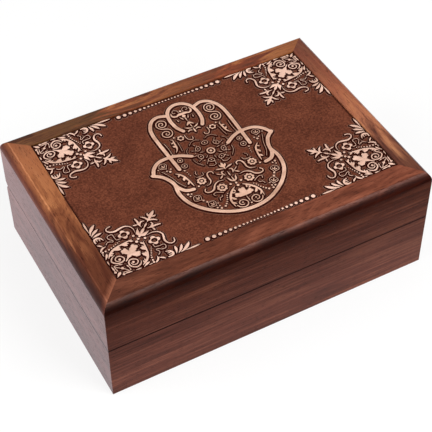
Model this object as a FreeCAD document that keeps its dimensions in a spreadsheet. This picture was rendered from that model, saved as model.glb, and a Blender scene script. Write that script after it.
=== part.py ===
import FreeCAD, Part
import math
import os
import Sketcher

# Hinged wooden keepsake box. The lid and the base are mitred from the same stock,
# four moulded rails frame a carved panel on top, and two small butt hinges join
# the back. Origin at the middle of the underside, X along the long front, front at -Y.

SIZES = {
    # Carcass
    "length": 178.0,
    "depth": 125.0,
    "wall_thickness": 8.5,
    "base_height": 34.0,
    "rim_gap": 0.3,
    "lid_wall_height": 25.5,
    "foot_round": 0.8,
    "bottom_thickness": 4.0,
    "bottom_rebate": 4.5,
    "board_clearance": 0.15,
    # Rails of the top
    "rail_width": 12.35,
    "rail_height": 6.2,
    "ridge_height": 4.8,
    "ridge_inset": 2.9,
    "moulding_radius": 6.4,
    "ledge_width": 3.0,
    "ledge_thickness": 1.8,
    # Carved panel
    "panel_thickness": 3.6,
    "relief_height": 0.6,
    "drawing_length": 153.0,
    "drawing_width": 100.0,
    "drawing_margin": 0.3,
    # Hinges
    "hinge_offset": 52.0,
    "hinge_length": 20.0,
    "pin_inset": 1.8,
    "pin_radius": 0.6,
    "pin_clearance": 0.05,
    "knuckle_radius": 1.7,
    "knuckle_gap": 0.15,
    "leaf_reach": 6.2,
    "leaf_thickness": 0.9,
    "mortise_clearance": 0.15,
    "barrel_clearance": 0.25,
    "lid_opening": 100.0,
    # Hinge screws
    "screw_spacing": 12.0,
    "screw_inset": 3.9,
    "head_radius": 1.6,
    "shank_radius": 0.75,
    "shank_length": 5.0,
    "point_length": 1.6,
    "tip_radius": 0.1,
    "slot_width": 0.35,
    "slot_depth": 0.35,
}

# Heights and places that follow from the sizes above
RIM = "Sizes.base_height"
PARTING = "(Sizes.base_height + Sizes.rim_gap / 2)"
LID_RIM = "(Sizes.base_height + Sizes.rim_gap)"
WALL_TOP = f"({LID_RIM} + Sizes.lid_wall_height)"
PANEL_LENGTH = "(Sizes.length - 2 * Sizes.rail_width - 2 * Sizes.board_clearance)"
PANEL_WIDTH = "(Sizes.depth - 2 * Sizes.rail_width - 2 * Sizes.board_clearance)"
PANEL_TOP = f"({WALL_TOP} + Sizes.ledge_thickness + Sizes.panel_thickness)"
PIN_PLACE = "(Sizes.depth / 2 - Sizes.pin_inset)"
KNUCKLE_LENGTH = "((Sizes.hinge_length - 2 * Sizes.knuckle_gap) / 3)"
BEVEL_ANGLE = "(Sizes.lid_opening / 2 * 1 deg)"
BEVEL_START = f"(Sizes.pin_inset + Sizes.rim_gap / 2 * tan({BEVEL_ANGLE} / 2))"
BEVEL_DROP = f"({BEVEL_START} * tan({BEVEL_ANGLE}))"
THROUGH = "(Sizes.length + Sizes.depth)"

Vector = FreeCAD.Vector
X_AXIS = Vector(1, 0, 0)
Y_AXIS = Vector(0, 1, 0)
Z_AXIS = Vector(0, 0, 1)

doc = FreeCAD.newDocument("keepsake_box")
sheet = doc.addObject("Spreadsheet::Sheet", "Sizes")
for row, (alias, value) in enumerate(SIZES.items(), start=1):
    sheet.set(f"A{row}", alias)
    sheet.set(f"B{row}", str(value))
    sheet.setAlias(f"B{row}", alias)
doc.recompute()


def size(expression):
    """Value of an expression on the sheet."""
    return float(sheet.evalExpression(expression))


def bind(thing, **expressions):
    """Ties properties to the sheet; an underscore in a name stands for a dot."""
    for name, expression in expressions.items():
        thing.setExpression(name.replace("_", "."), expression)


# Sketches and features of a body


def new_body(name, turn=0.0, z="0"):
    body = doc.addObject("PartDesign::Body", name)
    body.Label = name
    body.Placement = FreeCAD.Placement(Vector(0, 0, 0), FreeCAD.Rotation(Z_AXIS, turn))
    bind(body, Placement_Base_z=z)
    return body


def new_sketch(body, name, plane, offset=None):
    sketch = body.newObject("Sketcher::SketchObject", f"{body.Label}_{name}")
    origin_plane = next(f for f in body.Origin.OriginFeatures if f.Role == plane)
    sketch.AttachmentSupport = [(origin_plane, "")]
    sketch.MapMode = "FlatFace"
    if offset:
        bind(sketch, AttachmentOffset_Base_z=offset)
    return sketch


def pin_point(sketch, side, x, y):
    """Holds the first point of a side at its distances from the sketch's origin."""
    for axis, expression in (("X", x), ("Y", y)):
        constraint = Sketcher.Constraint(f"Distance{axis}", -1, 1, side, 1, size(expression))
        index = sketch.addConstraint(constraint)
        sketch.renameConstraint(index, f"side{side}{axis}")
        sketch.setExpression(f"Constraints.side{side}{axis}", expression)


def draw_outline(sketch, corners, arc_radius=None):
    """Closed outline through (x, y) expressions, anticlockwise where its last side is an arc."""
    first = sketch.GeometryCount
    points = [Vector(size(x), size(y), 0) for x, y in corners]
    for start, end in zip(points, points[1:] + points[:1]):
        closing = end is points[0]
        if closing and arc_radius:
            middle = arc_middle(start, end, size(arc_radius))
            sketch.addGeometry(Part.Arc(start, middle, end), False)
        else:
            sketch.addGeometry(Part.LineSegment(start, end), False)
    last = sketch.GeometryCount - 1
    for side in range(first, last + 1):
        following = side + 1 if side < last else first
        sketch.addConstraint(Sketcher.Constraint("Coincident", side, 2, following, 1))
    for side, (x, y) in enumerate(corners, start=first):
        pin_point(sketch, side, x, y)
    if arc_radius:
        index = sketch.addConstraint(Sketcher.Constraint("Radius", last, size(arc_radius)))
        sketch.renameConstraint(index, "arcRadius")
        sketch.setExpression("Constraints.arcRadius", arc_radius)


def arc_middle(start, end, radius):
    """Middle of the arc from start to end that bulges to the right of the way there."""
    chord = end - start
    half = chord.Length / 2
    rise = radius - math.sqrt(radius ** 2 - half ** 2)
    outward = Vector(chord.y, -chord.x, 0).normalize()
    return (start + end) / 2 + outward * rise


def draw_rectangle(sketch, x0, x1, y0, y1):
    draw_outline(sketch, [(x0, y0), (x1, y0), (x1, y1), (x0, y1)])


def draw_circle(sketch, x, y, radius):
    side = sketch.GeometryCount
    centre = Vector(size(x), size(y), 0)
    sketch.addGeometry(Part.Circle(centre, Z_AXIS, size(radius)), False)
    for axis, expression in (("X", x), ("Y", y)):
        constraint = Sketcher.Constraint(f"Distance{axis}", -1, 1, side, 3, size(expression))
        index = sketch.addConstraint(constraint)
        sketch.renameConstraint(index, f"centre{side}{axis}")
        sketch.setExpression(f"Constraints.centre{side}{axis}", expression)
    index = sketch.addConstraint(Sketcher.Constraint("Radius", side, size(radius)))
    sketch.renameConstraint(index, f"radius{side}")
    sketch.setExpression(f"Constraints.radius{side}", radius)


def draw_twelve_sides(sketch, x, y, radius):
    """Hole of twelve sides, for the screws: they repeat eight times."""
    corners = []
    for i in range(12):
        angle = math.radians(30 * i)
        corners.append((f"{x} + {radius} * ({math.cos(angle):.6f})",
                        f"{y} + {radius} * ({math.sin(angle):.6f})"))
    draw_outline(sketch, corners)


def pad(body, sketch, length, symmetric=False):
    feature = body.newObject("PartDesign::Pad", f"{sketch.Name}_pad")
    feature.Profile = sketch
    feature.SideType = "Symmetric" if symmetric else "One side"
    bind(feature, Length=length)
    return feature


def pocket(body, sketch, length, symmetric=False, upward=False):
    """Cuts downwards from a level sketch, or upwards, or to both sides of an upright one."""
    feature = body.newObject("PartDesign::Pocket", f"{sketch.Name}_pocket")
    feature.Profile = sketch
    feature.SideType = "Symmetric" if symmetric else "One side"
    feature.Reversed = upward
    bind(feature, Length=length)
    return feature


def straight_edges(shape, y, z):
    """Names of the long edges that lie at one y and z."""
    names = []
    for index, edge in enumerate(shape.Edges, start=1):
        if all(abs(v.Y - y) < 1e-6 and abs(v.Z - z) < 1e-6 for v in edge.Vertexes):
            names.append(f"Edge{index}")
    return names


# The four walls of the base and the four of the lid, in one pattern


def mitred_wall(name, run, span, turn, z, height):
    """A wall as long as run outside, its outer face half of span in front of the centre."""
    body = new_body(name, turn, z)
    outer = f"(-{span} / 2)"
    inner = f"({outer} + Sizes.wall_thickness)"
    plan = new_sketch(body, "plan", "XY_Plane")
    draw_outline(plan, [
        (f"-{run} / 2", outer),
        (f"{run} / 2", outer),
        (f"{run} / 2 - Sizes.wall_thickness", inner),
        (f"-({run} / 2 - Sizes.wall_thickness)", inner),
    ])
    pad(body, plan, height)
    return body


def rebate_for_bottom(body, run, span):
    """Rebate along the foot of a base wall, and the slight round of its outer edge."""
    inner = f"(-{span} / 2 + Sizes.wall_thickness)"
    sketch = new_sketch(body, "rebate", "XY_Plane")
    draw_rectangle(
        sketch, f"-{run} / 2", f"{run} / 2", f"{inner} - Sizes.bottom_rebate", inner
    )
    cut = pocket(body, sketch, "Sizes.bottom_thickness", upward=True)
    doc.recompute()
    rounding = body.newObject("PartDesign::Fillet", f"{body.Label}_foot")
    rounding.Base = (cut, straight_edges(cut.Shape, -size(span) / 2, 0))
    bind(rounding, Radius="Sizes.foot_round")


def bevel_along_back(body, rim, drop):
    """Bevel of a back wall's rim behind the hinge pin: the two bevels stop the open lid."""
    outer = "-Sizes.depth / 2"
    sketch = new_sketch(body, "bevel", "YZ_Plane")
    draw_outline(sketch, [
        (f"{outer} + {BEVEL_START}", rim), (outer, rim), (outer, f"{rim} {drop}")
    ])
    pocket(body, sketch, THROUGH, symmetric=True)


def bevel_at_end(body, side, rim, drop):
    """The same bevel across the back end of a side wall; side is + or -."""
    sketch = new_sketch(body, "bevel", "XZ_Plane")
    draw_outline(sketch, [
        (f"{side}(Sizes.depth / 2 - {BEVEL_START})", rim),
        (f"{side}Sizes.depth / 2", rim),
        (f"{side}Sizes.depth / 2", f"{rim} {drop}"),
    ])
    pocket(body, sketch, THROUGH, symmetric=True)


def hinge_mortises(body, rim, axis_height, upward):
    """Leaf recess, barrel channel and screw holes for both hinges in a back wall."""
    pin = f"(-{PIN_PLACE})"
    half = "(Sizes.hinge_length / 2 + Sizes.mortise_clearance)"
    recess = new_sketch(body, "mortises", "XY_Plane", rim)
    for side in ("-", "+"):
        centre = f"{side}Sizes.hinge_offset"
        draw_rectangle(
            recess, f"{centre} - {half}", f"{centre} + {half}",
            pin, f"{pin} + Sizes.leaf_reach + Sizes.mortise_clearance",
        )
    pocket(body, recess, "Sizes.leaf_thickness", upward=upward)
    holes = new_sketch(body, "screw_holes", "XY_Plane", rim)
    for side in ("-", "+"):
        for step in ("-", "+"):
            draw_twelve_sides(
                holes, f"{side}Sizes.hinge_offset {step} Sizes.screw_spacing / 2",
                f"{pin} + Sizes.screw_inset", "Sizes.shank_radius",
            )
    pocket(body, holes, "Sizes.leaf_thickness + Sizes.shank_length + Sizes.point_length",
           upward=upward)
    for side, place in (("left", "-"), ("right", "")):
        channel = new_sketch(
            body, f"channel_{side}", "YZ_Plane", f"{place}Sizes.hinge_offset"
        )
        draw_circle(
            channel, pin, axis_height, "Sizes.knuckle_radius + Sizes.barrel_clearance"
        )
        pocket(body, channel, f"2 * {half}", symmetric=True)


WALL_SIDES = (
    # name, length of the wall, distance between it and its opposite, quarter turn
    ("front", "Sizes.length", "Sizes.depth", 0),
    ("back", "Sizes.length", "Sizes.depth", 180),
    ("left", "Sizes.depth", "Sizes.length", -90),
    ("right", "Sizes.depth", "Sizes.length", 90),
)
BACK_END = {"left": "-", "right": "+"}


def make_base_walls():
    walls = []
    for side, run, span, turn in WALL_SIDES:
        wall = mitred_wall(f"base_{side}_wall", run, span, turn, "0", RIM)
        rebate_for_bottom(wall, run, span)
        if side == "back":
            bevel_along_back(wall, RIM, f"- {BEVEL_DROP}")
            hinge_mortises(wall, RIM, PARTING, upward=False)
        elif side in BACK_END:
            bevel_at_end(wall, BACK_END[side], RIM, f"- {BEVEL_DROP}")
        walls.append(wall)
    return walls


def make_lid_walls():
    walls = []
    for side, run, span, turn in WALL_SIDES:
        wall = mitred_wall(
            f"lid_{side}_wall", run, span, turn, LID_RIM, "Sizes.lid_wall_height"
        )
        if side == "back":
            bevel_along_back(wall, "0", f"+ {BEVEL_DROP}")
            hinge_mortises(wall, "0", "-Sizes.rim_gap / 2", upward=True)
        elif side in BACK_END:
            bevel_at_end(wall, BACK_END[side], "0", f"+ {BEVEL_DROP}")
        walls.append(wall)
    return walls


def make_bottom_panel():
    """Plain board in the rebates of the base walls, flush with the underside."""
    board = doc.addObject("Part::Box", "base_bottom_panel")
    inset = "(Sizes.wall_thickness - Sizes.bottom_rebate + Sizes.board_clearance)"
    bind(
        board,
        Length=f"Sizes.length - 2 * {inset}",
        Width=f"Sizes.depth - 2 * {inset}",
        Height="Sizes.bottom_thickness",
        Placement_Base_x=f"-Sizes.length / 2 + {inset}",
        Placement_Base_y=f"-Sizes.depth / 2 + {inset}",
    )
    return board


def make_rail(side, run, span, turn):
    """Moulded rail: rounded outer edge, ridge, shallow slope in to the panel, and a ledge."""
    body = new_body(f"top_rail_{side}", turn, WALL_TOP)
    outer = f"(-{span} / 2)"
    width = "(Sizes.rail_width + Sizes.ledge_width)"
    profile = new_sketch(body, "profile", "YZ_Plane")
    draw_outline(profile, [
        (outer, "0"),
        (f"{outer} + {width}", "0"),
        (f"{outer} + {width}", "Sizes.ledge_thickness"),
        (f"{outer} + Sizes.rail_width", "Sizes.ledge_thickness"),
        (f"{outer} + Sizes.rail_width", "Sizes.rail_height"),
        (f"{outer} + Sizes.ridge_inset", "Sizes.ridge_height"),
    ], arc_radius="Sizes.moulding_radius")
    pad(body, profile, run, symmetric=True)
    mitres = new_sketch(body, "mitres", "XY_Plane")
    for end in ("-", ""):
        draw_outline(mitres, [
            (f"{end}{run} / 2", outer),
            (f"{end}{run} / 2", f"{outer} + {width}"),
            (f"{end}({run} / 2 - {width})", f"{outer} + {width}"),
        ])
    pocket(body, mitres, THROUGH, symmetric=True)
    return body


# Relief of the top panel. Places and widths are those of a drawing as long and wide as
# drawing_length and drawing_width. A placer, the first argument of each form, puts a
# point of the drawing on the panel. Each form is cut with straight knife strokes.


class Placer:
    """Puts a point of the drawing on the panel, measured from an origin along two ways."""

    def __init__(self, scale, origin, x_way, y_way):
        self.scale = scale
        self.origin = origin
        self.x_way = x_way
        self.y_way = y_way

    def __call__(self, x, y):
        return self.origin + (self.x_way * x + self.y_way * y) * self.scale


def flat_form(corners):
    """Flat face through its corners, turned so that it looks upwards."""
    face = Part.Face(Part.makePolygon(corners + corners[:1]))
    if face.normalAt(0, 0).z < 0:
        face.reverse()
    return face


def directions(line):
    """Way of a smooth line at each of its points."""
    ways = [(after - before).normalize() for before, after in zip(line, line[2:])]
    return [(line[1] - line[0]).normalize()] + ways + [(line[-1] - line[-2]).normalize()]


def ribbon(place, points, widths):
    """Raised band along a line, with one width for each point."""
    line = [place(x, y) for x, y in points]
    left = []
    right = []
    for point, way, width in zip(line, directions(line), widths):
        across = Vector(-way.y, way.x, 0) * (place.scale * width / 2)
        left.append(point + across)
        right.append(point - across)
    return flat_form(left + right[::-1])


def band(place, points, width):
    """Ribbon of one width, with an extra point between each two so that it runs round."""
    line = [place(x, y) for x, y in points]
    ways = directions(line)
    fuller = []
    for i, ((x0, y0), (x1, y1)) in enumerate(zip(points, points[1:])):
        bend = (ways[i] - ways[i + 1]) * ((line[i + 1] - line[i]).Length / 8 / place.scale)
        bend = (bend.dot(place.x_way), bend.dot(place.y_way))
        fuller += [(x0, y0), ((x0 + x1) / 2 + bend[0], (y0 + y1) / 2 + bend[1])]
    fuller.append(points[-1])
    return ribbon(place, fuller, [width] * len(fuller))


def leaf(place, root, tip, width):
    """Pointed leaf, widest past its middle."""
    start = place(*root)
    end = place(*tip)
    way = (end - start).normalize()
    across = Vector(-way.y, way.x, 0) * (place.scale * width / 2)
    belly = start + (end - start) * 0.6
    return flat_form([start, belly + across, end, belly - across])


def bead(place, x, y, radius, sides=4):
    """Small raised dot with a few flat sides."""
    centre = place(x, y)
    corners = []
    for i in range(sides):
        angle = 2 * math.pi * (i + 0.5) / sides
        reach = radius * place.scale
        corners.append(centre + Vector(math.cos(angle), math.sin(angle), 0) * reach)
    return flat_form(corners)


def rosette(place, x, y, radius, hole, sides=6):
    """Flower round a hole."""
    return bead(place, x, y, radius, sides).cut(bead(place, x, y, hole)).Faces[0]


def volute(place, centre, radii, start, turns, widths):
    """Scroll that winds inwards; negative turns go clockwise."""
    steps = round(abs(turns) * 6)
    points = []
    taper = []
    for i in range(steps + 1):
        share = i / steps
        angle = math.radians(start + 360 * turns * share)
        reach = radii[0] + (radii[1] - radii[0]) * share
        points.append((centre[0] + reach * math.cos(angle), centre[1] + reach * math.sin(angle)))
        taper.append(widths[0] + (widths[1] - widths[0]) * share)
    return ribbon(place, points, taper)


def acanthus(place, line, widths, lobes):
    """Curved arm with pointed lobes on its inner side, each from a root to a tip."""
    return [ribbon(place, line, widths)] + [leaf(place, *lobe) for lobe in lobes]


def corner_half(place):
    """Half of a corner ornament: x runs along the panel's edge and y away from it."""
    forms = [volute(place, (10.4, 5.8), (3.6, 1.3), 0, -1.15, (0.9, 0.8))]
    forms.append(bead(place, 10.4, 5.8, 0.7))
    arm = [(13.4, 1.8), (16.4, 4.4), (18.2, 8.4), (18.9, 12.3), (19.3, 15.8)]
    forms += acanthus(place, arm, [0.5, 1.3, 1.1, 1.0, 0.8], [
        ((17.6, 5.6), (16.0, 9.4), 2.4),
        ((18.8, 10.0), (16.6, 12.9), 2.0),
        ((19.3, 13.8), (17.6, 15.8), 1.4),
    ])
    forms.append(ribbon(place, [(11.6, 11.0), (13.4, 9.8), (14.9, 8.4)], [2.6, 3.6, 1.9]))
    scroll = [
        (32.1, 10.4), (31.6, 7.9), (29.3, 8.1), (28.3, 11.2), (29.0, 14.6), (27.4, 18.2),
        (23.8, 18.8),
    ]
    forms.append(ribbon(place, scroll, [0.9, 0.8, 0.8, 1.1, 1.1, 0.7, 0.4]))
    forms.append(rosette(place, 24.3, 13.8, 2.7, 1.3))
    wave = [(22.5, 10.6), (23.4, 9.0), (26.8, 8.6), (26.0, 6.6), (22.8, 6.2)]
    forms.append(ribbon(place, wave, [0.6, 0.6, 0.6, 0.5, 0.4]))
    for i in range(4):
        share = i / 3
        x = 18.4 + 0.7 * share + 2.0 * share ** 2
        forms.append(bead(place, x, 1.0 + 9.0 * share, 0.6 - 0.2 * share))
    # Palmette, curl and fan that grow from the panel's edge
    forms.append(ribbon(place, [(19.2, 0.3), (20.4, 1.5), (21.1, 3.6)], [1.0, 1.1, 0.4]))
    forms.append(ribbon(place, [(25.6, 0.5), (27.7, 0.9), (27.9, 3.2), (25.7, 4.2)],
                        [0.9, 1.3, 1.2, 0.7]))
    forms.append(leaf(place, (29.4, 0.6), (30.5, 5.6), 1.9))
    forms.append(leaf(place, (30.6, 0.6), (34.0, 5.0), 1.9))
    forms.append(leaf(place, (32.2, 0.5), (37.6, 4.6), 2.0))
    forms.append(leaf(place, (33.6, 0.5), (41.2, 0.6), 1.2))
    # Broken lattice in the very corner
    forms.append(leaf(place, (3.4, 0.9), (7.9, 1.0), 1.3))
    # Side leaves of the sprig at the tip
    forms.append(leaf(place, (21.6, 20.8), (24.6, 20.4), 1.6))
    forms.append(ribbon(place, [(24.6, 22.5), (28.0, 22.0), (31.0, 22.6)], [0.5, 1.2, 0.7]))
    forms.append(leaf(place, (26.7, 22.2), (27.4, 19.4), 1.3))
    forms.append(leaf(place, (26.2, 22.4), (28.3, 25.2), 1.3))
    forms.append(ribbon(place, [(27.6, 27.3), (29.6, 26.6), (31.0, 24.6)], [0.8, 1.1, 0.5]))
    forms.append(leaf(place, (28.2, 27.6), (31.6, 29.3), 1.5))
    return forms


def corner_middle(place):
    """Forms on the diagonal of a corner ornament."""
    forms = [leaf(place, (0.6, 0.6), (2.9, 2.9), 2.2), bead(place, 4.4, 4.4, 0.9)]
    forms.append(ribbon(place, [(8.3, 8.3), (10.0, 10.0), (12.3, 12.3)], [0.9, 1.1, 2.6]))
    forms.append(bead(place, 14.5, 14.7, 2.2, 6))
    for reach, radius in ((16.9, 0.9), (18.2, 0.8), (19.3, 0.7)):
        forms.append(bead(place, reach, reach, radius))
    forms.append(leaf(place, (19.6, 19.6), (23.8, 23.8), 3.0))
    forms.append(leaf(place, (23.2, 23.2), (26.0, 26.0), 1.3))
    forms.append(leaf(place, (25.2, 25.2), (31.6, 31.2), 2.4))
    return forms


def hand_outline(place):
    """Half of the open hand: a finger and a half, a curled thumb and the round palm."""
    lines = (
        [(19.9, -1.4), (20.6, 20.0), (20.0, 29.6), (17.0, 35.6), (12.6, 37.9), (8.2, 36.6)],
        [(5.4, 22.2), (7.3, 26.2), (7.6, 33.0), (5.7, 39.0), (0, 42.2)],
        [(10.2, 4.0), (15.4, 7.2), (20.6, 8.5), (26.6, 8.0), (30.8, 4.9), (33.2, 0.4)],
        [(33.6, 0.9), (29.6, -2.4), (27.2, -7.2), (26.2, -12.2), (23.8, -15.8),
         (20.0, -16.8)],
        [(26.8, -10.4), (27.7, -17.0), (25.6, -25.2), (19.2, -33.2), (9.6, -39.2), (0, -41.0)],
    )
    return [band(place, line, 2.1) for line in lines]


def eye_petal(place, angle):
    """One of seven small petals about the eye in the palm."""
    x = 6.9 * math.cos(math.radians(angle))
    y = 3.1 + 6.9 * math.sin(math.radians(angle))
    return bead(place, x, y, 1.4, 6)


def finger_scroll(place, x):
    """Scroll of an outer finger. The two of them are alike, not mirrored."""
    return [
        volute(place, (x, 31.3), (2.8, 1.0), 215, -1.35, (0.8, 0.7)),
        volute(place, (x - 0.3, 23.7), (2.8, 1.0), 35, -1.35, (0.8, 0.7)),
        ribbon(place, [(x - 2.5, 30.0), (x, 27.7), (x + 2.1, 25.3)], [0.8] * 3),
    ]


def finger_ornament(place):
    """Half of the middle finger's palmette, and what hangs below an outer finger."""
    forms = [ribbon(place, [(2.2, 36.9), (4.2, 37.9), (4.4, 35.0), (0.6, 32.4)],
                    [0.8, 0.9, 1.2, 1.1])]
    forms.append(leaf(place, (0.3, 34.2), (3.0, 35.9), 1.2))
    forms.append(leaf(place, (0.3, 25.2), (3.7, 22.8), 1.1))
    forms.append(leaf(place, (0.3, 23.2), (2.6, 20.7), 1.0))
    forms.append(rosette(place, 9.0, 18.4, 1.9, 0.9))
    forms.append(ribbon(place, [(5.8, 19.6), (5.5, 16.2), (3.9, 15.2), (2.9, 16.6)],
                        [0.6, 0.7, 0.7, 0.7]))
    forms += acanthus(place, [(13.2, 19.2), (13.6, 14.6), (15.6, 9.9)], [1.0, 0.9, 0.5],
                      [((13.2, 17.4), (15.0, 16.6), 1.2), ((13.7, 13.6), (15.2, 15.0), 1.2)])
    return forms


def palm_ornament(place):
    """Half of the eye's petals, the thumb's filling and the flowers of the palm."""
    forms = [eye_petal(place, 90 - step * 360 / 7) for step in (1, 2, 3)]
    # Thumb
    forms.append(bead(place, 26.3, 4.4, 1.8, 6))
    forms.append(bead(place, 17.4, 4.0, 1.4, 6))
    forms.append(bead(place, 16.3, -0.6, 1.4, 6))
    forms.append(bead(place, 24.6, -0.6, 0.7))
    forms.append(bead(place, 18.6, -3.4, 0.6))
    forms += acanthus(place, [(23.1, -3.2), (20.2, -7.0), (19.1, -14.6)], [0.6, 1.2, 0.8],
                      [((21.4, -4.8), (22.9, -6.0), 1.3), ((19.9, -7.6), (21.5, -9.4), 1.7),
                       ((19.5, -11.0), (20.9, -12.8), 1.4)])
    # Two flowers, each with its scroll
    forms.append(rosette(place, 14.2, -13.6, 2.4, 1.0))
    forms.append(ribbon(place, [(7.1, -11.7), (8.4, -9.6), (10.4, -10.9), (10.6, -14.6),
                                (14.0, -17.7)], [0.7, 0.8, 0.9, 0.9, 0.4]))
    forms.append(rosette(place, 7.5, -22.4, 2.7, 1.2))
    forms.append(ribbon(place, [(15.4, -19.2), (16.0, -21.6), (13.2, -22.2), (10.2, -19.2),
                                (5.0, -18.2)], [0.7, 0.8, 1.0, 1.0, 0.4]))
    forms.append(ribbon(place, [(8.4, -25.9), (11.8, -24.1), (13.5, -25.4)],
                        [0.5, 0.6, 0.5]))
    forms.append(bead(place, 17.4, -16.2, 0.6))
    forms.append(bead(place, 2.9, -22.3, 0.7))
    # Sprig over the palm
    forms.append(leaf(place, (0.3, -11.8), (4.6, -10.3), 1.2))
    forms.append(ribbon(place, [(6.2, -13.0), (3.6, -15.1), (1.7, -12.8)], [0.6, 1.1, 0.7]))
    forms.append(leaf(place, (3.2, -14.9), (5.4, -16.7), 1.1))
    forms.append(leaf(place, (0.5, -20.6), (2.0, -17.6), 1.1))
    # Blossom with an acanthus arm and a volute at the foot of the palm
    arm = [(2.0, -25.0), (5.6, -28.0), (7.9, -32.6), (7.8, -37.0)]
    forms += acanthus(place, arm, [0.8, 1.4, 1.1, 0.6], [
        ((4.0, -26.4), (3.2, -28.8), 1.5), ((6.8, -29.8), (5.2, -33.0), 1.9),
        ((8.0, -33.4), (6.6, -36.0), 1.4),
    ])
    forms.append(ribbon(place, [(0.2, -31.9), (2.4, -31.6), (4.2, -30.7)], [2.0, 2.8, 1.6]))
    forms.append(volute(place, (3.5, -36.4), (2.7, 1.1), 20, -1.2, (0.8, 0.7)))
    # Buds along the edge of the palm
    forms.append(bead(place, 21.6, -23.4, 1.8, 6))
    forms.append(bead(place, 16.9, -30.0, 1.8, 6))
    for x, y in ((24.2, -19.4), (19.0, -27.0), (14.2, -33.8)):
        forms.append(bead(place, x, y, 0.8))
    return forms


def hand_middle(place):
    """Forms on the hand's own middle line."""
    forms = [rosette(place, 0, 3.1, 2.4, 1.5), bead(place, 0, 3.1, 0.8), eye_petal(place, 90)]
    forms.append(bead(place, 0, 36.6, 1.0, 6))
    forms.append(leaf(place, (0, 28.4), (0, 34.8), 2.0))
    forms.append(bead(place, 0, 26.6, 0.9, 6))
    forms.append(leaf(place, (0, 18.6), (0, 25.4), 1.3))
    forms.append(leaf(place, (0, -12.2), (0, -7.0), 2.2))
    forms.append(leaf(place, (0, -17.2), (0, -13.0), 1.0))
    forms.append(leaf(place, (0, -22.0), (0, -17.8), 1.0))
    forms.append(bead(place, 0, -24.2, 0.8, 6))
    forms.append(bead(place, 0, -28.0, 2.1, 8))
    forms.append(leaf(place, (0, -39.0), (0, -32.4), 1.1))
    return forms


def dot_row(place):
    """Row of dots along the panel's edge, largest at both ends."""
    forms = []
    for i in range(25):
        share = i / 12 - 1
        x = 28.8 * (0.75 * share + 0.25 * share ** 3)
        forms.append(bead(place, x, 1.6, 0.5 + 0.75 * share ** 2))
    return forms


def raised(forms, height):
    """Forms cut to one height and joined where they touch."""
    prisms = [form.extrude(Z_AXIS * height) for form in forms]
    return prisms[0].multiFuse(prisms[1:]).removeSplitter()


def mirrored(shape, *axes):
    """A shape with its mirror images across the panel's middle."""
    shapes = [shape]
    for axis in axes:
        shapes += [made.mirror(Vector(0, 0, 0), axis) for made in shapes]
    return shapes


def panel_relief(half_length, half_width, scale, height):
    """The raised ornament in groups, standing on z = 0 about the panel's middle."""
    centre = Placer(scale, Vector(0, 0, 0), X_AXIS, Y_AXIS)
    half_hand = hand_outline(centre) + finger_ornament(centre) + palm_ornament(centre)
    hand = mirrored(raised(half_hand, height), X_AXIS)
    hand.append(raised(hand_middle(centre), height))
    scrolls = finger_scroll(centre, 14.4) + finger_scroll(centre, -13.3)
    hand.append(raised(scrolls, height))
    hand_centre = Vector(0.9, 0.5, 0) * scale
    hand = [form.translated(hand_centre) for form in hand]
    # The corner ornament was drawn square and then stretched along the panel
    corner = Vector(-half_length, -half_width, 0)
    along = X_AXIS * 1.05
    across = Y_AXIS * 0.95
    forms = corner_half(Placer(scale, corner, along, across))
    forms += corner_half(Placer(scale, corner, across, along))
    forms += corner_middle(Placer(scale, corner, along, across))
    corners = mirrored(raised(forms, height), X_AXIS, Y_AXIS)
    row = Placer(scale, Vector(0, -half_width, 0), X_AXIS, Y_AXIS)
    rows = mirrored(raised(dot_row(row), height), Y_AXIS)
    return hand + corners + rows


def make_top_panel():
    """Carved panel on the rails' ledges: one board, with its ornament standing on it."""
    length = size(PANEL_LENGTH)
    width = size(PANEL_WIDTH)
    thickness = size("Sizes.panel_thickness")
    margin = size("Sizes.drawing_margin")
    scale = min(
        length / size("Sizes.drawing_length"),
        width / size("Sizes.drawing_width"),
    )
    relief = panel_relief(
        length / 2 - margin, width / 2 - margin, scale, size("Sizes.relief_height")
    )
    blank = Part.makeBox(length, width, thickness, Vector(-length / 2, -width / 2, -thickness))
    panel = doc.addObject("Part::Feature", "top_panel")
    panel.Shape = blank.multiFuse(relief)
    bind(panel, Placement_Base_z=PANEL_TOP)
    return panel


# Hinges and their screws


def box_solid(name, corner, spans):
    """Block from a corner by its spans, both as three expressions."""
    solid = doc.addObject("Part::Box", name)
    x, y, z = corner
    length, width, height = spans
    bind(solid, Length=length, Width=width, Height=height,
         Placement_Base_x=x, Placement_Base_y=y, Placement_Base_z=z)
    return solid


def barrel_solid(name, radius, start, length):
    """Cylinder along X about the hinge axis, from its start."""
    solid = doc.addObject("Part::Cylinder", name)
    solid.Placement = FreeCAD.Placement(Vector(0, 0, 0), FreeCAD.Rotation(Y_AXIS, 90))
    bind(solid, Radius=radius, Height=length, Placement_Base_x=start)
    return solid


def twelve_sided(name, stations, x="0", y="0"):
    """Upright solid of twelve sides, with a radius and a height at each station."""
    sections = []
    for i, (radius, z) in enumerate(stations):
        section = doc.addObject("Part::RegularPolygon", f"{name}_section{i}")
        section.Polygon = 12
        bind(section, Circumradius=radius, Placement_Base_x=x, Placement_Base_y=y,
             Placement_Base_z=z)
        sections.append(section)
    solid = doc.addObject("Part::Loft", name)
    solid.Sections = sections
    solid.Solid = True
    solid.Ruled = True
    return solid


def joined(name, parts):
    """Several solids as one; a single one stays as it is."""
    if len(parts) == 1:
        return parts[0]
    solid = doc.addObject("Part::MultiFuse", name)
    solid.Shapes = parts
    return solid


def taken_away(name, base, tool):
    solid = doc.addObject("Part::Cut", name)
    solid.Base = base
    solid.Tool = tool
    return solid


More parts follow.
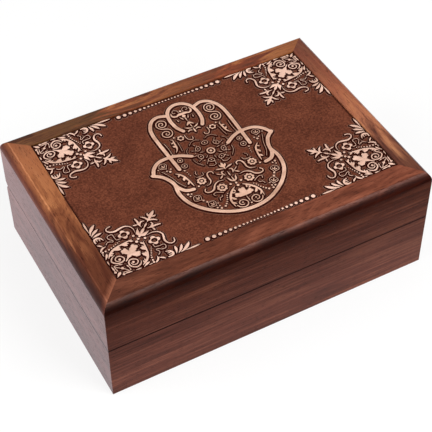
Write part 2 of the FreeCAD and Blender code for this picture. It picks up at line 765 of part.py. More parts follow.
def make_hinge_leaf(name, place, on_lid):
    """Leaf let into a rim: a plate with its knuckles about the pin, and two sunk holes."""
    half = "(Sizes.hinge_length / 2)"
    face = "Sizes.rim_gap / 2" if on_lid else "-Sizes.rim_gap / 2"
    low = face if on_lid else f"{face} - Sizes.leaf_thickness"
    clear = "(Sizes.knuckle_radius + Sizes.barrel_clearance)"
    notch_spans = [("-Sizes.hinge_length / 2", f"{KNUCKLE_LENGTH} + Sizes.knuckle_gap"),
                   (f"{half} - {KNUCKLE_LENGTH} - Sizes.knuckle_gap",
                    f"{KNUCKLE_LENGTH} + Sizes.knuckle_gap")]
    knuckle_starts = [f"-{KNUCKLE_LENGTH} / 2"]
    if not on_lid:
        notch_spans = [(f"-{KNUCKLE_LENGTH} / 2 - Sizes.knuckle_gap",
                        f"{KNUCKLE_LENGTH} + 2 * Sizes.knuckle_gap")]
        knuckle_starts = [f"-{half}", f"{half} - {KNUCKLE_LENGTH}"]
    plate = box_solid(f"{name}_plate", (f"-{half}", "-Sizes.leaf_reach", low),
                      ("Sizes.hinge_length", "Sizes.leaf_reach", "Sizes.leaf_thickness"))
    notches = []
    for i, (start, length) in enumerate(notch_spans):
        notches.append(box_solid(f"{name}_notch{i}", (start, f"-{clear}", low),
                                 (length, clear, "Sizes.leaf_thickness")))
    body = [taken_away(f"{name}_notched", plate, joined(f"{name}_notches", notches))]
    for i, start in enumerate(knuckle_starts):
        body.append(barrel_solid(f"{name}_knuckle{i}", "Sizes.knuckle_radius", start,
                                 KNUCKLE_LENGTH))
    bore_radius = "Sizes.pin_radius + Sizes.pin_clearance" if on_lid else "Sizes.pin_radius"
    holes = [barrel_solid(f"{name}_bore", bore_radius, f"-{half}", "Sizes.hinge_length")]
    for i, step in enumerate(("-", "")):
        small, large = "Sizes.shank_radius", "Sizes.head_radius"
        holes.append(twelve_sided(
            f"{name}_sink{i}",
            [(large if on_lid else small, low),
             (small if on_lid else large, f"{low} + Sizes.leaf_thickness")],
            f"{step}Sizes.screw_spacing / 2",
            "-Sizes.screw_inset",
        ))
    leaf_body = taken_away(name, joined(f"{name}_body", body), joined(f"{name}_holes", holes))
    bind(leaf_body, Placement_Base_x=place, Placement_Base_y=PIN_PLACE,
         Placement_Base_z=PARTING)
    return leaf_body


def make_screw(name, x, z, on_lid):
    """Small slotted screw with its sunk head at the leaf's face."""
    solid = twelve_sided(f"{name}_solid", [
        ("Sizes.tip_radius",
         "-Sizes.leaf_thickness - Sizes.shank_length - Sizes.point_length"),
        ("Sizes.shank_radius", "-Sizes.leaf_thickness - Sizes.shank_length"),
        ("Sizes.shank_radius", "-Sizes.leaf_thickness"),
        ("Sizes.head_radius", "0"),
    ])
    slot = box_solid(f"{name}_slot",
                     ("-Sizes.head_radius", "-Sizes.slot_width / 2", "-Sizes.slot_depth"),
                     ("2 * Sizes.head_radius", "Sizes.slot_width", "Sizes.slot_depth"))
    screw = taken_away(name, solid, slot)
    flip = FreeCAD.Rotation(X_AXIS, 180 if on_lid else 0)
    screw.Placement = FreeCAD.Placement(Vector(0, 0, 0), flip)
    bind(screw, Placement_Base_x=x, Placement_Base_y=f"{PIN_PLACE} - Sizes.screw_inset",
         Placement_Base_z=z)
    return screw


def make_screws(name, z, on_lid):
    """The four screws that hold both hinges to one rim."""
    screws = []
    for side, hinge_side in (("left", "-"), ("right", "")):
        for i, step in enumerate(("-", "+")):
            x = f"{hinge_side}Sizes.hinge_offset {step} Sizes.screw_spacing / 2"
            screws.append(make_screw(f"{name}_{side}{i}", x, z, on_lid))
    group = doc.addObject("Part::Compound", name)
    group.Links = screws
    return group


def make_pin(name, place):
    pin = barrel_solid(name, "Sizes.pin_radius", f"{place} - Sizes.hinge_length / 2",
                       "Sizes.hinge_length")
    bind(pin, Placement_Base_y=PIN_PLACE, Placement_Base_z=PARTING)
    return pin


def make_hinges():
    pieces = []
    for side, place in (("left", "-Sizes.hinge_offset"), ("right", "Sizes.hinge_offset")):
        pieces.append(make_hinge_leaf(f"{side}_hinge_base_leaf", place, on_lid=False))
        pieces.append(make_hinge_leaf(f"{side}_hinge_lid_leaf", place, on_lid=True))
        pieces.append(make_pin(f"{side}_hinge_pin", place))
    pieces.append(make_screws("base_hinge_screws", RIM, on_lid=False))
    pieces.append(make_screws("lid_hinge_screws", LID_RIM, on_lid=True))
    return pieces


def check(pieces):
    """Stops if a feature failed or a piece has no sound shape."""
    for thing in doc.Objects:
        if "Invalid" in thing.State or "Error" in thing.State:
            raise RuntimeError(f"{thing.Name} failed: {thing.State}")
    for piece in pieces:
        if piece.Shape.isNull() or not piece.Shape.isValid():
            raise RuntimeError(f"{piece.Label} has no valid shape")


def export(pieces):
    os.makedirs("parts", exist_ok=True)
    for piece in pieces:
        piece.Shape.exportStep(f"parts/{piece.Label}.step")
        print(f"{piece.Label}: {len(piece.Shape.Solids)} solids, {piece.Shape.Volume:.1f} mm3")


pieces = make_base_walls()
pieces.append(make_bottom_panel())
pieces += make_lid_walls()
pieces += [make_rail(*side) for side in WALL_SIDES]
pieces.append(make_top_panel())
pieces += make_hinges()
doc.recompute()
check(pieces)
export(pieces)
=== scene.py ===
import math

import bmesh
import bpy
from mathutils import Matrix, Vector


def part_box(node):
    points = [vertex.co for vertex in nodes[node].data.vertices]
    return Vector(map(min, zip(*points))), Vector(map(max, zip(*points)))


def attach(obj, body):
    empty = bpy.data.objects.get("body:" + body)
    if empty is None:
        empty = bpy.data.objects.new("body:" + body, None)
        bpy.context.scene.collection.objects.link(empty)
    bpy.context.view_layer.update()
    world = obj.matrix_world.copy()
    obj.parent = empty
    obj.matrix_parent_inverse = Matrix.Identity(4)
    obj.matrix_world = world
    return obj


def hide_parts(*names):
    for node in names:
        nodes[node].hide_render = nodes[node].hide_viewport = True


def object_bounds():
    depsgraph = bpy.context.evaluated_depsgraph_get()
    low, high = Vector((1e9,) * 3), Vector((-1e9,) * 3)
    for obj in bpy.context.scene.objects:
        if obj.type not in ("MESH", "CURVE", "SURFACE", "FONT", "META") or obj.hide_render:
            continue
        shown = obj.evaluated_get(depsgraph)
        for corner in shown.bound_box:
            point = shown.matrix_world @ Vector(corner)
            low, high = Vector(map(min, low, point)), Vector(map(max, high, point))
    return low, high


# A hinged rosewood keepsake box with a carved panel in its lid, seen from above its front
# left corner. Sizes are in metres, X runs along the long front and the front is at -Y.

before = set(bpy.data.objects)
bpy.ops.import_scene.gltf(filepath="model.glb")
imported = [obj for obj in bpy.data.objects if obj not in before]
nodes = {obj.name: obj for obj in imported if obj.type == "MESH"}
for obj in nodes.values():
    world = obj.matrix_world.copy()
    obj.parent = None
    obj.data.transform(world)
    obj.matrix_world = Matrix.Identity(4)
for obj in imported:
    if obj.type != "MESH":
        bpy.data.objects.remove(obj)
cad_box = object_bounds()
scene = bpy.context.scene


# Camera
# It stands in front of the box and to its left, high enough to look down on the lid.

CAMERA_PLACE = (-0.20797, -0.39131, 0.49097)
AZIMUTH = math.radians(-28.16)
ELEVATION = math.radians(46.63)
ROLL = math.radians(-0.58)
LENS = 103.02
NEAREST_SEEN = 0.01


def put_in_scene(name, data):
    """Object made of a camera, a lamp or a mesh."""
    thing = bpy.data.objects.new(name, data)
    scene.collection.objects.link(thing)
    return thing


camera_data = bpy.data.cameras.new("camera")
camera_data.sensor_width = 36
camera_data.lens = LENS
camera_data.clip_start = NEAREST_SEEN
camera = put_in_scene("camera", camera_data)
camera.matrix_world = (
    Matrix.Translation(CAMERA_PLACE)
    @ Matrix.Rotation(AZIMUTH, 4, "Z")
    @ Matrix.Rotation(math.pi / 2 - ELEVATION, 4, "X")
    @ Matrix.Rotation(ROLL, 4, "Z")
)
scene.camera = camera


# Floor and light
# A white sheet under the box runs out of sight in all directions. The light is a pale room
# with soft lamps, and the camera sees the sheet mostly by its own white glow.

SHEET_HALF = 3.0
FOUR_CORNERS = ((-1, -1), (1, -1), (1, 1), (-1, 1))
WHITE = (1, 1, 1)
SHEET_MIRRORED = (0.94, 0.95, 1.0)
ROOM_COLOUR = (1.0, 0.98, 0.96)


def feed(tree, node, inputs):
    """Gives each input of a node a number, a colour or the output of another node."""
    for name, value in inputs.items():
        socket = node.inputs[name]
        if isinstance(value, bpy.types.NodeSocket):
            tree.links.new(value, socket)
        elif socket.type == "RGBA":
            socket.default_value = (*value, 1)
        else:
            socket.default_value = value


def add_node(tree, kind, inputs=None, **settings):
    """New node with its settings and with what feeds its inputs."""
    node = tree.nodes.new(kind)
    for name, value in settings.items():
        setattr(node, name, value)
    feed(tree, node, inputs or {})
    return node


def maths(tree, operation, *values):
    """Result of one operation on its values."""
    inputs = dict(enumerate(values))
    return add_node(tree, "ShaderNodeMath", inputs, operation=operation).outputs[0]


def remapped(tree, value, low, high, to_low=0.0, to_high=1.0):
    """Value between low and high, brought between two others."""
    return add_node(tree, "ShaderNodeMapRange", {
        "Value": value, "From Min": low, "From Max": high, "To Min": to_low, "To Max": to_high,
    }).outputs[0]


def mixed(tree, share, first, second, **settings):
    """One number or colour with a share of another mixed in."""
    inputs = {"Factor": share, "A": first, "B": second}
    return add_node(tree, "ShaderNodeMix", inputs, **settings).outputs["Result"]


def new_material(name):
    """Material with its node tree and its surface shader."""
    material = bpy.data.materials.new(name)
    material.use_nodes = True
    return material, material.node_tree, material.node_tree.nodes["Principled BSDF"]


sheet_mesh = bpy.data.meshes.new("paper_sheet")
sheet_mesh.from_pydata(
    [(x * SHEET_HALF, y * SHEET_HALF, 0) for x, y in FOUR_CORNERS], [], [(0, 1, 2, 3)]
)
paper_sheet = put_in_scene("paper_sheet", sheet_mesh)

white_paper, tree, paper = new_material("white_paper")
feed(tree, paper, {"Base Color": (0.9, 0.9, 0.9), "Roughness": 0.9})
rays = add_node(tree, "ShaderNodeLightPath").outputs
# Glossy rays see the sheet glow a touch blue, and dim where it lies in front: a painted
# reflection in the polish of the box.
place = add_node(tree, "ShaderNodeTexCoord")
axes = add_node(tree, "ShaderNodeSeparateXYZ", {0: place.outputs["Object"]})
painted_reflection = remapped(tree, axes.outputs["Y"], -0.1, -0.07, 0.02, 1.05)
glow = add_node(tree, "ShaderNodeEmission", {
    "Color": mixed(tree, rays["Is Glossy Ray"], WHITE, SHEET_MIRRORED, data_type="RGBA"),
    "Strength": mixed(tree, rays["Is Glossy Ray"], 1.0, painted_reflection),
})
seen = maths(tree, "MULTIPLY", rays["Is Camera Ray"], 0.8)
share = maths(tree, "MAXIMUM", seen, rays["Is Glossy Ray"])
sheet = add_node(tree, "ShaderNodeMixShader", {"Fac": share, 1: paper.outputs[0],
                                               2: glow.outputs[0]})
feed(tree, tree.nodes["Material Output"], {"Surface": sheet.outputs[0]})
sheet_mesh.materials.append(white_paper)

world = bpy.data.worlds.new("pale_room")
world.use_nodes = True
tree = world.node_tree
room = tree.nodes["Background"]
around = add_node(tree, "ShaderNodeTexCoord")
axes = add_node(tree, "ShaderNodeSeparateXYZ", {0: around.outputs["Generated"]})
feed(tree, room, {"Color": ROOM_COLOUR,
                  "Strength": remapped(tree, axes.outputs["Z"], 0.25, 0.6, 0.9, 0.3)})
white = add_node(tree, "ShaderNodeBackground", {"Color": WHITE, "Strength": 1.0})
rays = add_node(tree, "ShaderNodeLightPath").outputs
sky = add_node(tree, "ShaderNodeMixShader", {"Fac": rays["Is Camera Ray"], 1: room.outputs[0],
                                             2: white.outputs[0]})
feed(tree, tree.nodes["World Output"], {"Surface": sky.outputs[0]})
scene.world = world
scene.view_settings.view_transform = "Standard"

LAMPS = (
    # name, place, side of the lamp, power
    ("lamp_over_front", (0.45, -0.75, 0.95), 0.7, 14.0),
    ("lamp_left", (-1.0, 0.15, 0.75), 0.8, 9.0),
)
for name, place, side, power in LAMPS:
    lamp_data = bpy.data.lights.new(name, "AREA")
    lamp_data.shape = "SQUARE"
    lamp_data.size = side
    lamp_data.energy = power
    lamp = put_in_scene(name, lamp_data)
    lamp.location = place
    lamp.rotation_euler = (-Vector(place)).to_track_quat("-Z", "Y").to_euler()


# Walls of the base and the lid
# Eight mitred boards of polished Indian rosewood. Base and lid are sawn from one carcass, so
# the grain of each lid wall carries on in the base wall under it.

GRAIN_ROUGHNESS = 0.55
PORE_TINT = (0.35, 0.28, 0.26)


def noise(tree, place, scale, detail, roughness=0.5, distortion=0.0):
    """Noise at a place, with one scale or with a scale for each axis."""
    if not isinstance(scale, float):
        place = add_node(tree, "ShaderNodeVectorMath", {0: place, 1: scale},
                         operation="MULTIPLY").outputs[0]
        scale = 1.0
    return add_node(tree, "ShaderNodeTexNoise", {
        "Vector": place, "Scale": scale, "Detail": detail, "Roughness": roughness,
        "Distortion": distortion,
    }).outputs["Fac"]


def rosewood_grain_group():
    """Grain that runs along X: broad tone, fine streaks and short dark pores."""
    group = bpy.data.node_groups.new("rosewood_grain", "ShaderNodeTree")
    for name in ("Tone Along", "Tone Across", "Distortion"):
        group.interface.new_socket(name, in_out="INPUT", socket_type="NodeSocketFloat")
    group.interface.new_socket("Place", in_out="INPUT", socket_type="NodeSocketVector")
    for name in ("Tone", "Streaks", "Pores", "Height"):
        group.interface.new_socket(name, in_out="OUTPUT", socket_type="NodeSocketFloat")
    start = add_node(group, "NodeGroupInput").outputs
    place = start["Place"]
    tone_scale = add_node(group, "ShaderNodeCombineXYZ", {
        "X": start["Tone Along"], "Y": start["Tone Across"], "Z": start["Tone Across"],
    })
    tone = noise(group, place, tone_scale.outputs[0], 4, GRAIN_ROUGHNESS, start["Distortion"])
    streaks = noise(group, place, (26.0, 900.0, 900.0), 4, GRAIN_ROUGHNESS)
    specks = noise(group, place, (260.0, 3600.0, 3600.0), 1, GRAIN_ROUGHNESS)
    pores = remapped(group, specks, 0.6, 0.7)
    add_node(group, "NodeGroupOutput", {
        "Tone": tone, "Streaks": streaks, "Pores": pores,
        "Height": maths(group, "SUBTRACT", streaks, pores),
    })
    return group


rosewood_grain = rosewood_grain_group()


def grain_at(tree, place, along, across, distortion):
    """Grain at a place, with the scales of its tone along and across the board."""
    return add_node(tree, "ShaderNodeGroup", {
        "Place": place, "Tone Along": along, "Tone Across": across, "Distortion": distortion,
    }, node_tree=rosewood_grain).outputs


def ramped(tree, value, colours, start=0.0, reach=1.0):
    """Colour for a value, by colours that stand evenly from start over their reach."""
    ramp = add_node(tree, "ShaderNodeValToRGB", {"Fac": value})
    stops = ramp.color_ramp.elements
    for i, colour in enumerate(colours):
        position = start + reach * i / (len(colours) - 1)
        stop = stops[i] if i < 2 else stops.new(position)
        stop.position = position
        stop.color = (*colour, 1)
    return ramp.outputs[0]


def tinted(tree, colour, tint, share=1.0):
    """One colour multiplied by a share of another."""
    return mixed(tree, share, colour, tint, data_type="RGBA", blend_type="MULTIPLY")


def stained_and_shaded(tree, place, colour, stain_and_shading):
    """Tints a colour where the distance from a plane across a way runs from start to end."""
    way, plane, start, end, tint = stain_and_shading
    along = add_node(tree, "ShaderNodeVectorMath", {0: place, 1: way}, operation="DOT_PRODUCT")
    distance = maths(tree, "ABSOLUTE", maths(tree, "SUBTRACT", along.outputs["Value"], plane))
    share = remapped(tree, distance, start, end)
    return tinted(tree, colour, ramped(tree, share, (WHITE, tint)))


def relieved(tree, height, strength, distance=0.0001):
    """Normal of a surface with fine relief."""
    inputs = {"Height": height, "Strength": strength, "Distance": distance}
    return add_node(tree, "ShaderNodeBump", inputs).outputs[0]


def rosewood(name, shades, grain_turn=0.0, shift=(0, 0, 0), tone=(14.0, 120.0, 0.6),
             roughness=0.36, streak_share=0.45, specular=0.5, along=None, stains_and_shading=()):
    """Polished rosewood in its shades, from the darkest, with the grain turned about Z.

    along is an axis, the half length of a board and its tints from end to end.
    """
    material, tree, surface = new_material(name)
    place = add_node(tree, "ShaderNodeTexCoord").outputs["Object"]
    turned = add_node(tree, "ShaderNodeMapping", {"Vector": place, "Location": shift,
                                                  "Rotation": (0, 0, grain_turn)})
    grain = grain_at(tree, turned.outputs[0], *tone)
    blend = mixed(tree, streak_share, grain["Tone"], grain["Streaks"])
    colour = ramped(tree, blend, shades, 0.3, 0.4)
    if along:
        axis, half, tints = along
        axes = add_node(tree, "ShaderNodeSeparateXYZ", {0: place})
        share = remapped(tree, axes.outputs[axis], -half, half)
        wander = maths(tree, "MULTIPLY_ADD", grain["Tone"], 0.9, -0.45)
        colour = tinted(tree, colour, ramped(tree, maths(tree, "ADD", share, wander), tints))
    for stain_and_shading in stains_and_shading:
        colour = stained_and_shaded(tree, place, colour, stain_and_shading)
    feed(tree, surface, {
        "Base Color": tinted(tree, colour, PORE_TINT, grain["Pores"]),
        "Roughness": maths(tree, "MULTIPLY_ADD", grain["Pores"], 0.2, roughness),
        "Specular IOR Level": specular,
        "Normal": relieved(tree, grain["Height"], 0.25),
    })
    return material


def dress(material, *names):
    """Gives CAD nodes one material."""
    for name in names:
        mesh = nodes[name].data
        mesh.materials.clear()
        mesh.materials.append(material)


# A band of stain or painted shade is a way, a plane across it, the distances from the plane
# where it starts and is full, and a tint. Both rims have painted shade where lid meets base.
PARTING = (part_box("base_front_wall")[1].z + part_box("lid_front_wall")[0].z) / 2
PARTING_SHADE = ((0, 0, 1), PARTING, 0.0007, 0.0003, (0.3, 0.22, 0.2))
# Painted shade darkens the lid's long walls again where they meet the rails.
SHOULDER_SHADE = ((0, 0, 1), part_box("lid_front_wall")[1].z, 0.009, 0.0, (0.5, 0.36, 0.28))
# The tints along Z on the long walls are painted light: lighter at their foot, darker towards
# their top.
long_walls = rosewood("rosewood_long_walls",
                      ((0.019, 0.0045, 0.0025), (0.074, 0.0215, 0.013), (0.17, 0.06, 0.036)),
                      specular=0.08, roughness=0.34, stains_and_shading=(PARTING_SHADE, SHOULDER_SHADE),
                      along=("Z", 0.06, ((1.5, 1.5, 1.5), (1.5, 1.5, 1.5), (1.5, 1.5, 1.5),
                             (1.35, 1.3, 1.3), (0.92, 0.87, 0.86), (0.72, 0.64, 0.58))))
# The tints along Y on the end walls are painted sheen: browner at the front end, lighter and
# bluer towards the back.
end_walls = rosewood("rosewood_end_walls",
                     ((0.07, 0.019, 0.016), (0.134, 0.043, 0.037), (0.21, 0.078, 0.067)),
                     grain_turn=math.pi / 2, shift=(0.3, 0.1, 0), specular=0.6,
                     stains_and_shading=(PARTING_SHADE,),
                     along=("Y", 0.0625, ((0.85, 0.7, 0.62), (1.0, 0.95, 0.95), WHITE,
                            (1.15, 1.2, 1.2), (1.25, 1.3, 1.3))))
dress(long_walls, "base_front_wall", "base_back_wall", "lid_front_wall", "lid_back_wall")
dress(end_walls, "base_left_wall", "base_right_wall", "lid_left_wall", "lid_right_wall")


# Rails of the top
# Four moulded rails of livelier rosewood, mitred at the corners. Each is another cut, from
# orange brown to purple brown.

RIDGE_INSET = 0.0029
RAIL_TONE = (22.0, 90.0, 2.2)
# The painted shade of the outer slope starts just inside the ridge and is full near its foot.
SLOPE_SHADE_REACH = (-0.0004, 0.0019)
# The front end of the left rail shows a pale streak of end grain along its mitre.
PALE_MITRE = ((-1, 1, 0), cad_box[1][0] - cad_box[1][1], 0.0045, 0.0, (2.7, 3.3, 3.6))
# Just inside its ridge it has a thin painted highlight.
HIGHLIGHT_INSIDE = 0.0007
RIDGE_HIGHLIGHT = ((1, 0, 0), -(cad_box[1][0] - RIDGE_INSET - HIGHLIGHT_INSIDE), 0.00045, 0.0002,
              (1.45, 1.6, 1.75))
RAILS = (
    # node, grain turn, shift, shades, tints from one end to the other, painted shade of the
    # outer slope, other stains and painted highlights
    ("top_rail_front", 0.0, (0.0, 0.0, 0.0),
     ((0.05, 0.015, 0.009), (0.10, 0.032, 0.018), (0.17, 0.062, 0.036)),
     (WHITE, (1.1, 1.0, 0.95), (1.3, 1.15, 1.1), (1.65, 1.45, 1.4)),
     (0.16, 0.075, 0.05), ()),
    ("top_rail_back", 0.0, (0.5, 0.2, 0.0),
     ((0.10, 0.034, 0.016), (0.24, 0.085, 0.034), (0.40, 0.17, 0.065)),
     ((0.35, 0.3, 0.3), (0.5, 0.5, 0.45), (0.42, 0.46, 0.38), (0.7, 0.5, 0.5), (1.15, 1.0, 0.9),
      (0.55, 0.44, 0.44), (0.85, 0.48, 0.42), (1.3, 1.25, 1.05), (0.9, 0.75, 0.6)),
     (0.5, 0.4, 0.4), ()),
    ("top_rail_left", math.pi / 2, (1.3, 0.25, 0.0),
     ((0.21, 0.068, 0.03), (0.29, 0.105, 0.042), (0.36, 0.145, 0.06)),
     ((0.27, 0.2, 0.25), (0.3, 0.23, 0.28), (0.36, 0.28, 0.32), (0.72, 0.64, 0.66),
      (1.12, 1.1, 1.08), (1.1, 1.05, 1.1), (0.8, 0.76, 0.86)),
     (0.42, 0.25, 0.2), (PALE_MITRE, RIDGE_HIGHLIGHT)),
    ("top_rail_right", math.pi / 2, (1.7, 0.7, 0.0),
     ((0.09, 0.026, 0.016), (0.19, 0.062, 0.032), (0.29, 0.12, 0.056)),
     ((0.5, 0.45, 0.5), (0.55, 0.5, 0.55), (1.8, 1.9, 1.8), (1.6, 1.5, 1.4),
      (1.0, 0.85, 0.85), (0.65, 0.55, 0.6)),
     (0.5, 0.4, 0.4), ()),
)
for node, turn, shift, shades, tints, slope_shade, others in RAILS:
    low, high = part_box(node)
    run, across = ("Y", (1, 0, 0)) if turn else ("X", (0, 1, 0))
    half = high.y if turn else high.x
    edge = max(abs(low.x), abs(high.x)) if turn else max(abs(low.y), abs(high.y))
    ridge = edge - RIDGE_INSET
    slope_shading = (across, 0.0, ridge + SLOPE_SHADE_REACH[0], ridge + SLOPE_SHADE_REACH[1], slope_shade)
    dress(rosewood(f"rosewood_{node}", shades, grain_turn=turn, shift=shift, tone=RAIL_TONE,
                   roughness=0.34, streak_share=0.3, specular=0.1, along=(run, half, tints),
                   stains_and_shading=(slope_shading, *others)), node)


# Board of the base
# A plain rosewood board in the rebate of the base walls, rubbed with oil only.

dress(rosewood("oiled_board", ((0.07, 0.03, 0.02), (0.14, 0.065, 0.04), (0.2, 0.10, 0.06)),
               roughness=0.55), "base_bottom_panel")


# Carved panel
# One board of browned rosewood, dropped between the rails. Its ground is cut away and burnt
# along every form, so that the open hand, the corner sprays and the dots stand up pale.

PANEL_LOW, PANEL_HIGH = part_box("top_panel")
RELIEF_HEIGHT = 0.0006
GROUND = PANEL_HIGH.z - RELIEF_HEIGHT
# The drawing of the ornament is in millimetres, for a panel of this width.
DRAWN_WIDTH = 0.153
DRAWING_UNIT = 0.001 * (PANEL_HIGH.x - PANEL_LOW.x) / DRAWN_WIDTH
SAMPLE_STEP = 0.75
FEWEST_SAMPLES = 2
MOST_SAMPLES = 8
LEAST_WIDTH = 0.12
ROUND_END = (45, 90, 135)

# Section of a raised form from its skirt on the ground to its crown: how far outside the
# form's edge, how high over the ground, and how burnt.
FORM_SECTION = (
    (0.00105, -0.00004, 0.0),
    (0.00062, 0.00006, 1.0),
    (0.0, 0.0001, 1.0),
    (-0.00004, 0.00044, 0.9),
    (-0.00015, 0.00056, 0.15),
)
# The crown of a thin form keeps this share of its width. A groove takes a share too.
CROWN_SHARE = 0.4
GROOVE_SHARE = 0.3
GROOVE_DEPTH = 0.00015
# A leaf is narrow at its root, fullest past its middle and pointed: share of length, width.
LEAF_SECTION = ((0.0, 0.22), (0.3, 0.6), (0.6, 0.86), (0.85, 0.6), (1.0, 0.12))
# A petal parts in two lobes at this share of its length, set off by this share of its width.
PETAL_PARTING = 0.6
LOBE_OFFSET = 0.2


def through(points):
    """Smooth line through its points, with more samples where they lie further apart."""
    last = len(points) - 1
    line = []
    for i in range(last):
        a, b, c, d = (points[min(max(i + k, 0), last)] for k in (-1, 0, 1, 2))
        pieces = round(math.dist(b[:2], c[:2]) / SAMPLE_STEP)
        pieces = max(FEWEST_SAMPLES, min(MOST_SAMPLES, pieces))
        for k in range(pieces):
            t = k / pieces
            line.append(tuple(
                0.5 * (2 * q + (r - p) * t + (2 * p - 5 * q + 4 * r - s) * t * t
                       + (3 * q - p - 3 * r + s) * t ** 3)
                for p, q, r, s in zip(a, b, c, d)
            ))
    line.append(tuple(points[-1]))
    return line


def way_along(line, closed=False):
    """Direction of a line at each of its points."""
    ways = []
    last = len(line) - 1
    for i in range(last + 1):
        if closed:
            way = line[(i + 1) % (last + 1)] - line[i - 1]
        else:
            way = line[min(i + 1, last)] - line[max(i - 1, 0)]
        ways.append(way.normalized())
    return ways


class Carving:
    """Raised forms, each a closed solid with its own burnt skirt, at places of the drawing."""

    def __init__(self):
        self.points = []
        self.faces = []
        self.burn = []
        self.bead_places = []
        self.place = None

    def add_point(self, place, height, burn):
        self.points.append((place.x, place.y, GROUND + height))
        self.burn.append(burn)
        return len(self.points) - 1

    def loop(self, spine, ways, halves, groove=0.0):
        """Half section swept round a closed loop, its outside on the right-hand side."""
        rings = [[self.add_point(p, FORM_SECTION[0][1], 0.0) for p in spine]]
        for reach, height, burn in FORM_SECTION:
            rings.append([
                self.add_point(p + way * max(half + reach, half * CROWN_SHARE), height, burn)
                for p, way, half in zip(spine, ways, halves)
            ])
        if groove:
            rings.append([self.add_point(p + way * half * GROOVE_SHARE, RELIEF_HEIGHT, 0.0)
                          for p, way, half in zip(spine, ways, halves)])
        rings.append([self.add_point(p, RELIEF_HEIGHT - groove * GROOVE_DEPTH, groove)
                      for p in spine])
        for outer, inner in zip(rings, rings[1:]):
            for i in range(len(spine)):
                j = (i + 1) % len(spine)
                self.faces.append((outer[i], outer[j], inner[j], inner[i]))

    def stroke(self, points, widths, groove=0.0):
        """Band with round ends through its points, with one width or one for each point."""
        if isinstance(widths, float):
            widths = [widths] * len(points)
        samples = through([(x, y, w) for (x, y), w in zip(points, widths)])
        line = [self.place(x, y) for x, y, _ in samples]
        halves = [max(w, LEAST_WIDTH) * DRAWING_UNIT / 2 for _, _, w in samples]
        right = [Vector((way.y, -way.x)) for way in way_along(line)]
        left = [-way for way in right]
        spine = []
        outward = []
        reach = []
        # Along one side and round the end, then back along the other side
        for way_there, ways, spread in ((line, right, halves),
                                        (line[::-1], left[::-1], halves[::-1])):
            spine += way_there + [way_there[-1]] * len(ROUND_END)
            outward += ways
            outward += [Matrix.Rotation(math.radians(turn), 2) @ ways[-1] for turn in ROUND_END]
            reach += spread + [spread[-1]] * len(ROUND_END)
        self.loop(spine, outward, reach, groove)

    def leaf(self, root, tip, width, bend=0.0):
        """Leaf or petal from its root to its tip."""
        (x0, y0), (x1, y1) = root, tip
        length = math.hypot(x1 - x0, y1 - y0)
        across = (-(y1 - y0) / length, (x1 - x0) / length)
        points = []
        for share, _ in LEAF_SECTION:
            lift = bend * 4 * share * (1 - share)
            points.append((x0 + (x1 - x0) * share + across[0] * lift,
                           y0 + (y1 - y0) * share + across[1] * lift))
        self.stroke(points, [width * w for _, w in LEAF_SECTION])

    def leaves(self, *rows):
        for row in rows:
            self.leaf(*row)

    def petal(self, root, tip, width):
        """Broad petal of a blossom, its end parted in two lobes."""
        (x0, y0), (x1, y1) = root, tip
        length = math.hypot(x1 - x0, y1 - y0)
        aside = (-(y1 - y0) / length * width * LOBE_OFFSET,
                 (x1 - x0) / length * width * LOBE_OFFSET)
        parting = (x0 + (x1 - x0) * PETAL_PARTING, y0 + (y1 - y0) * PETAL_PARTING)
        self.stroke([root, parting], [width * 0.45, width])
        for side in (-1, 1):
            lobe = (x1 + side * aside[0], y1 + side * aside[1])
            self.stroke([parting, lobe], [width * 0.55, width * 0.6])

    def bud(self, x, y, turn):
        """Bud in an onion-shaped line that points along its turn, with three leaves in it."""

        def at(along, across):
            return (x + along * math.cos(turn) - across * math.sin(turn),
                    y + along * math.sin(turn) + across * math.cos(turn))

        for side in (-1, 1):
            self.stroke([at(-2.1, 0), at(-1.8, side * 0.9), at(-0.6, side * 2.1),
                         at(0.7, side * 1.9), at(1.5, side * 0.8), at(2.4, 0)], 0.45)
            self.leaf(at(1.0, 0), at(-0.3, side * 1.4), 0.8)
        self.leaf(at(1.2, 0), at(-1.3, 0), 0.9)

    def beads(self, *rows):
        """Notes where round raised dots stand, each with its radius."""
        for x, y, radius in rows:
            self.bead_places.append((*self.place(x, y), radius * DRAWING_UNIT))

    def ring(self, x, y, radius, width, lobes=0, oval=1.0, turn=0.0, depth=0.3, dot=None):
        """Ring, round or oval, plain or with lobes of some depth, with or without a dot."""
        count = max(16, 6 * lobes)
        points = []
        widths = []
        for i in range(count):
            angle = 2 * math.pi * i / count
            wave = math.cos(lobes * angle) if lobes else 0.0
            reach = radius * (1 + depth * wave / 4)
            u = reach * math.cos(angle)
            v = reach * oval * math.sin(angle)
            points.append(self.place(x + u * math.cos(turn) - v * math.sin(turn),
                                     y + u * math.sin(turn) + v * math.cos(turn)))
            widths.append(width * (1 + depth * wave) * DRAWING_UNIT / 2)
        area = sum(p.x * q.y - q.x * p.y for p, q in zip(points, points[1:] + points[:1]))
        if area < 0:
            points.reverse()
            widths.reverse()
        ways = [Vector((way.y, -way.x)) for way in way_along(points, closed=True)]
        self.loop(points, ways, widths)
        self.loop(points[::-1], [-way for way in ways[::-1]], widths[::-1])
        if dot:
            self.beads((x, y, dot))

    def mesh_object(self, name, material):
        mesh = bpy.data.meshes.new(name)
        mesh.from_pydata(self.points, [], self.faces)
        burn = mesh.attributes.new("burn", "FLOAT", "POINT")
        burn.data.foreach_set("value", self.burn)
        mesh.validate()
        form = bmesh.new()
        form.from_mesh(mesh)
        bmesh.ops.remove_doubles(form, verts=form.verts, dist=0.000002)
        bmesh.ops.dissolve_degenerate(form, edges=form.edges, dist=0.000001)
        form.to_mesh(mesh)
        form.free()
        mesh.shade_smooth()
        mesh.materials.append(material)
        return put_in_scene(name, mesh)


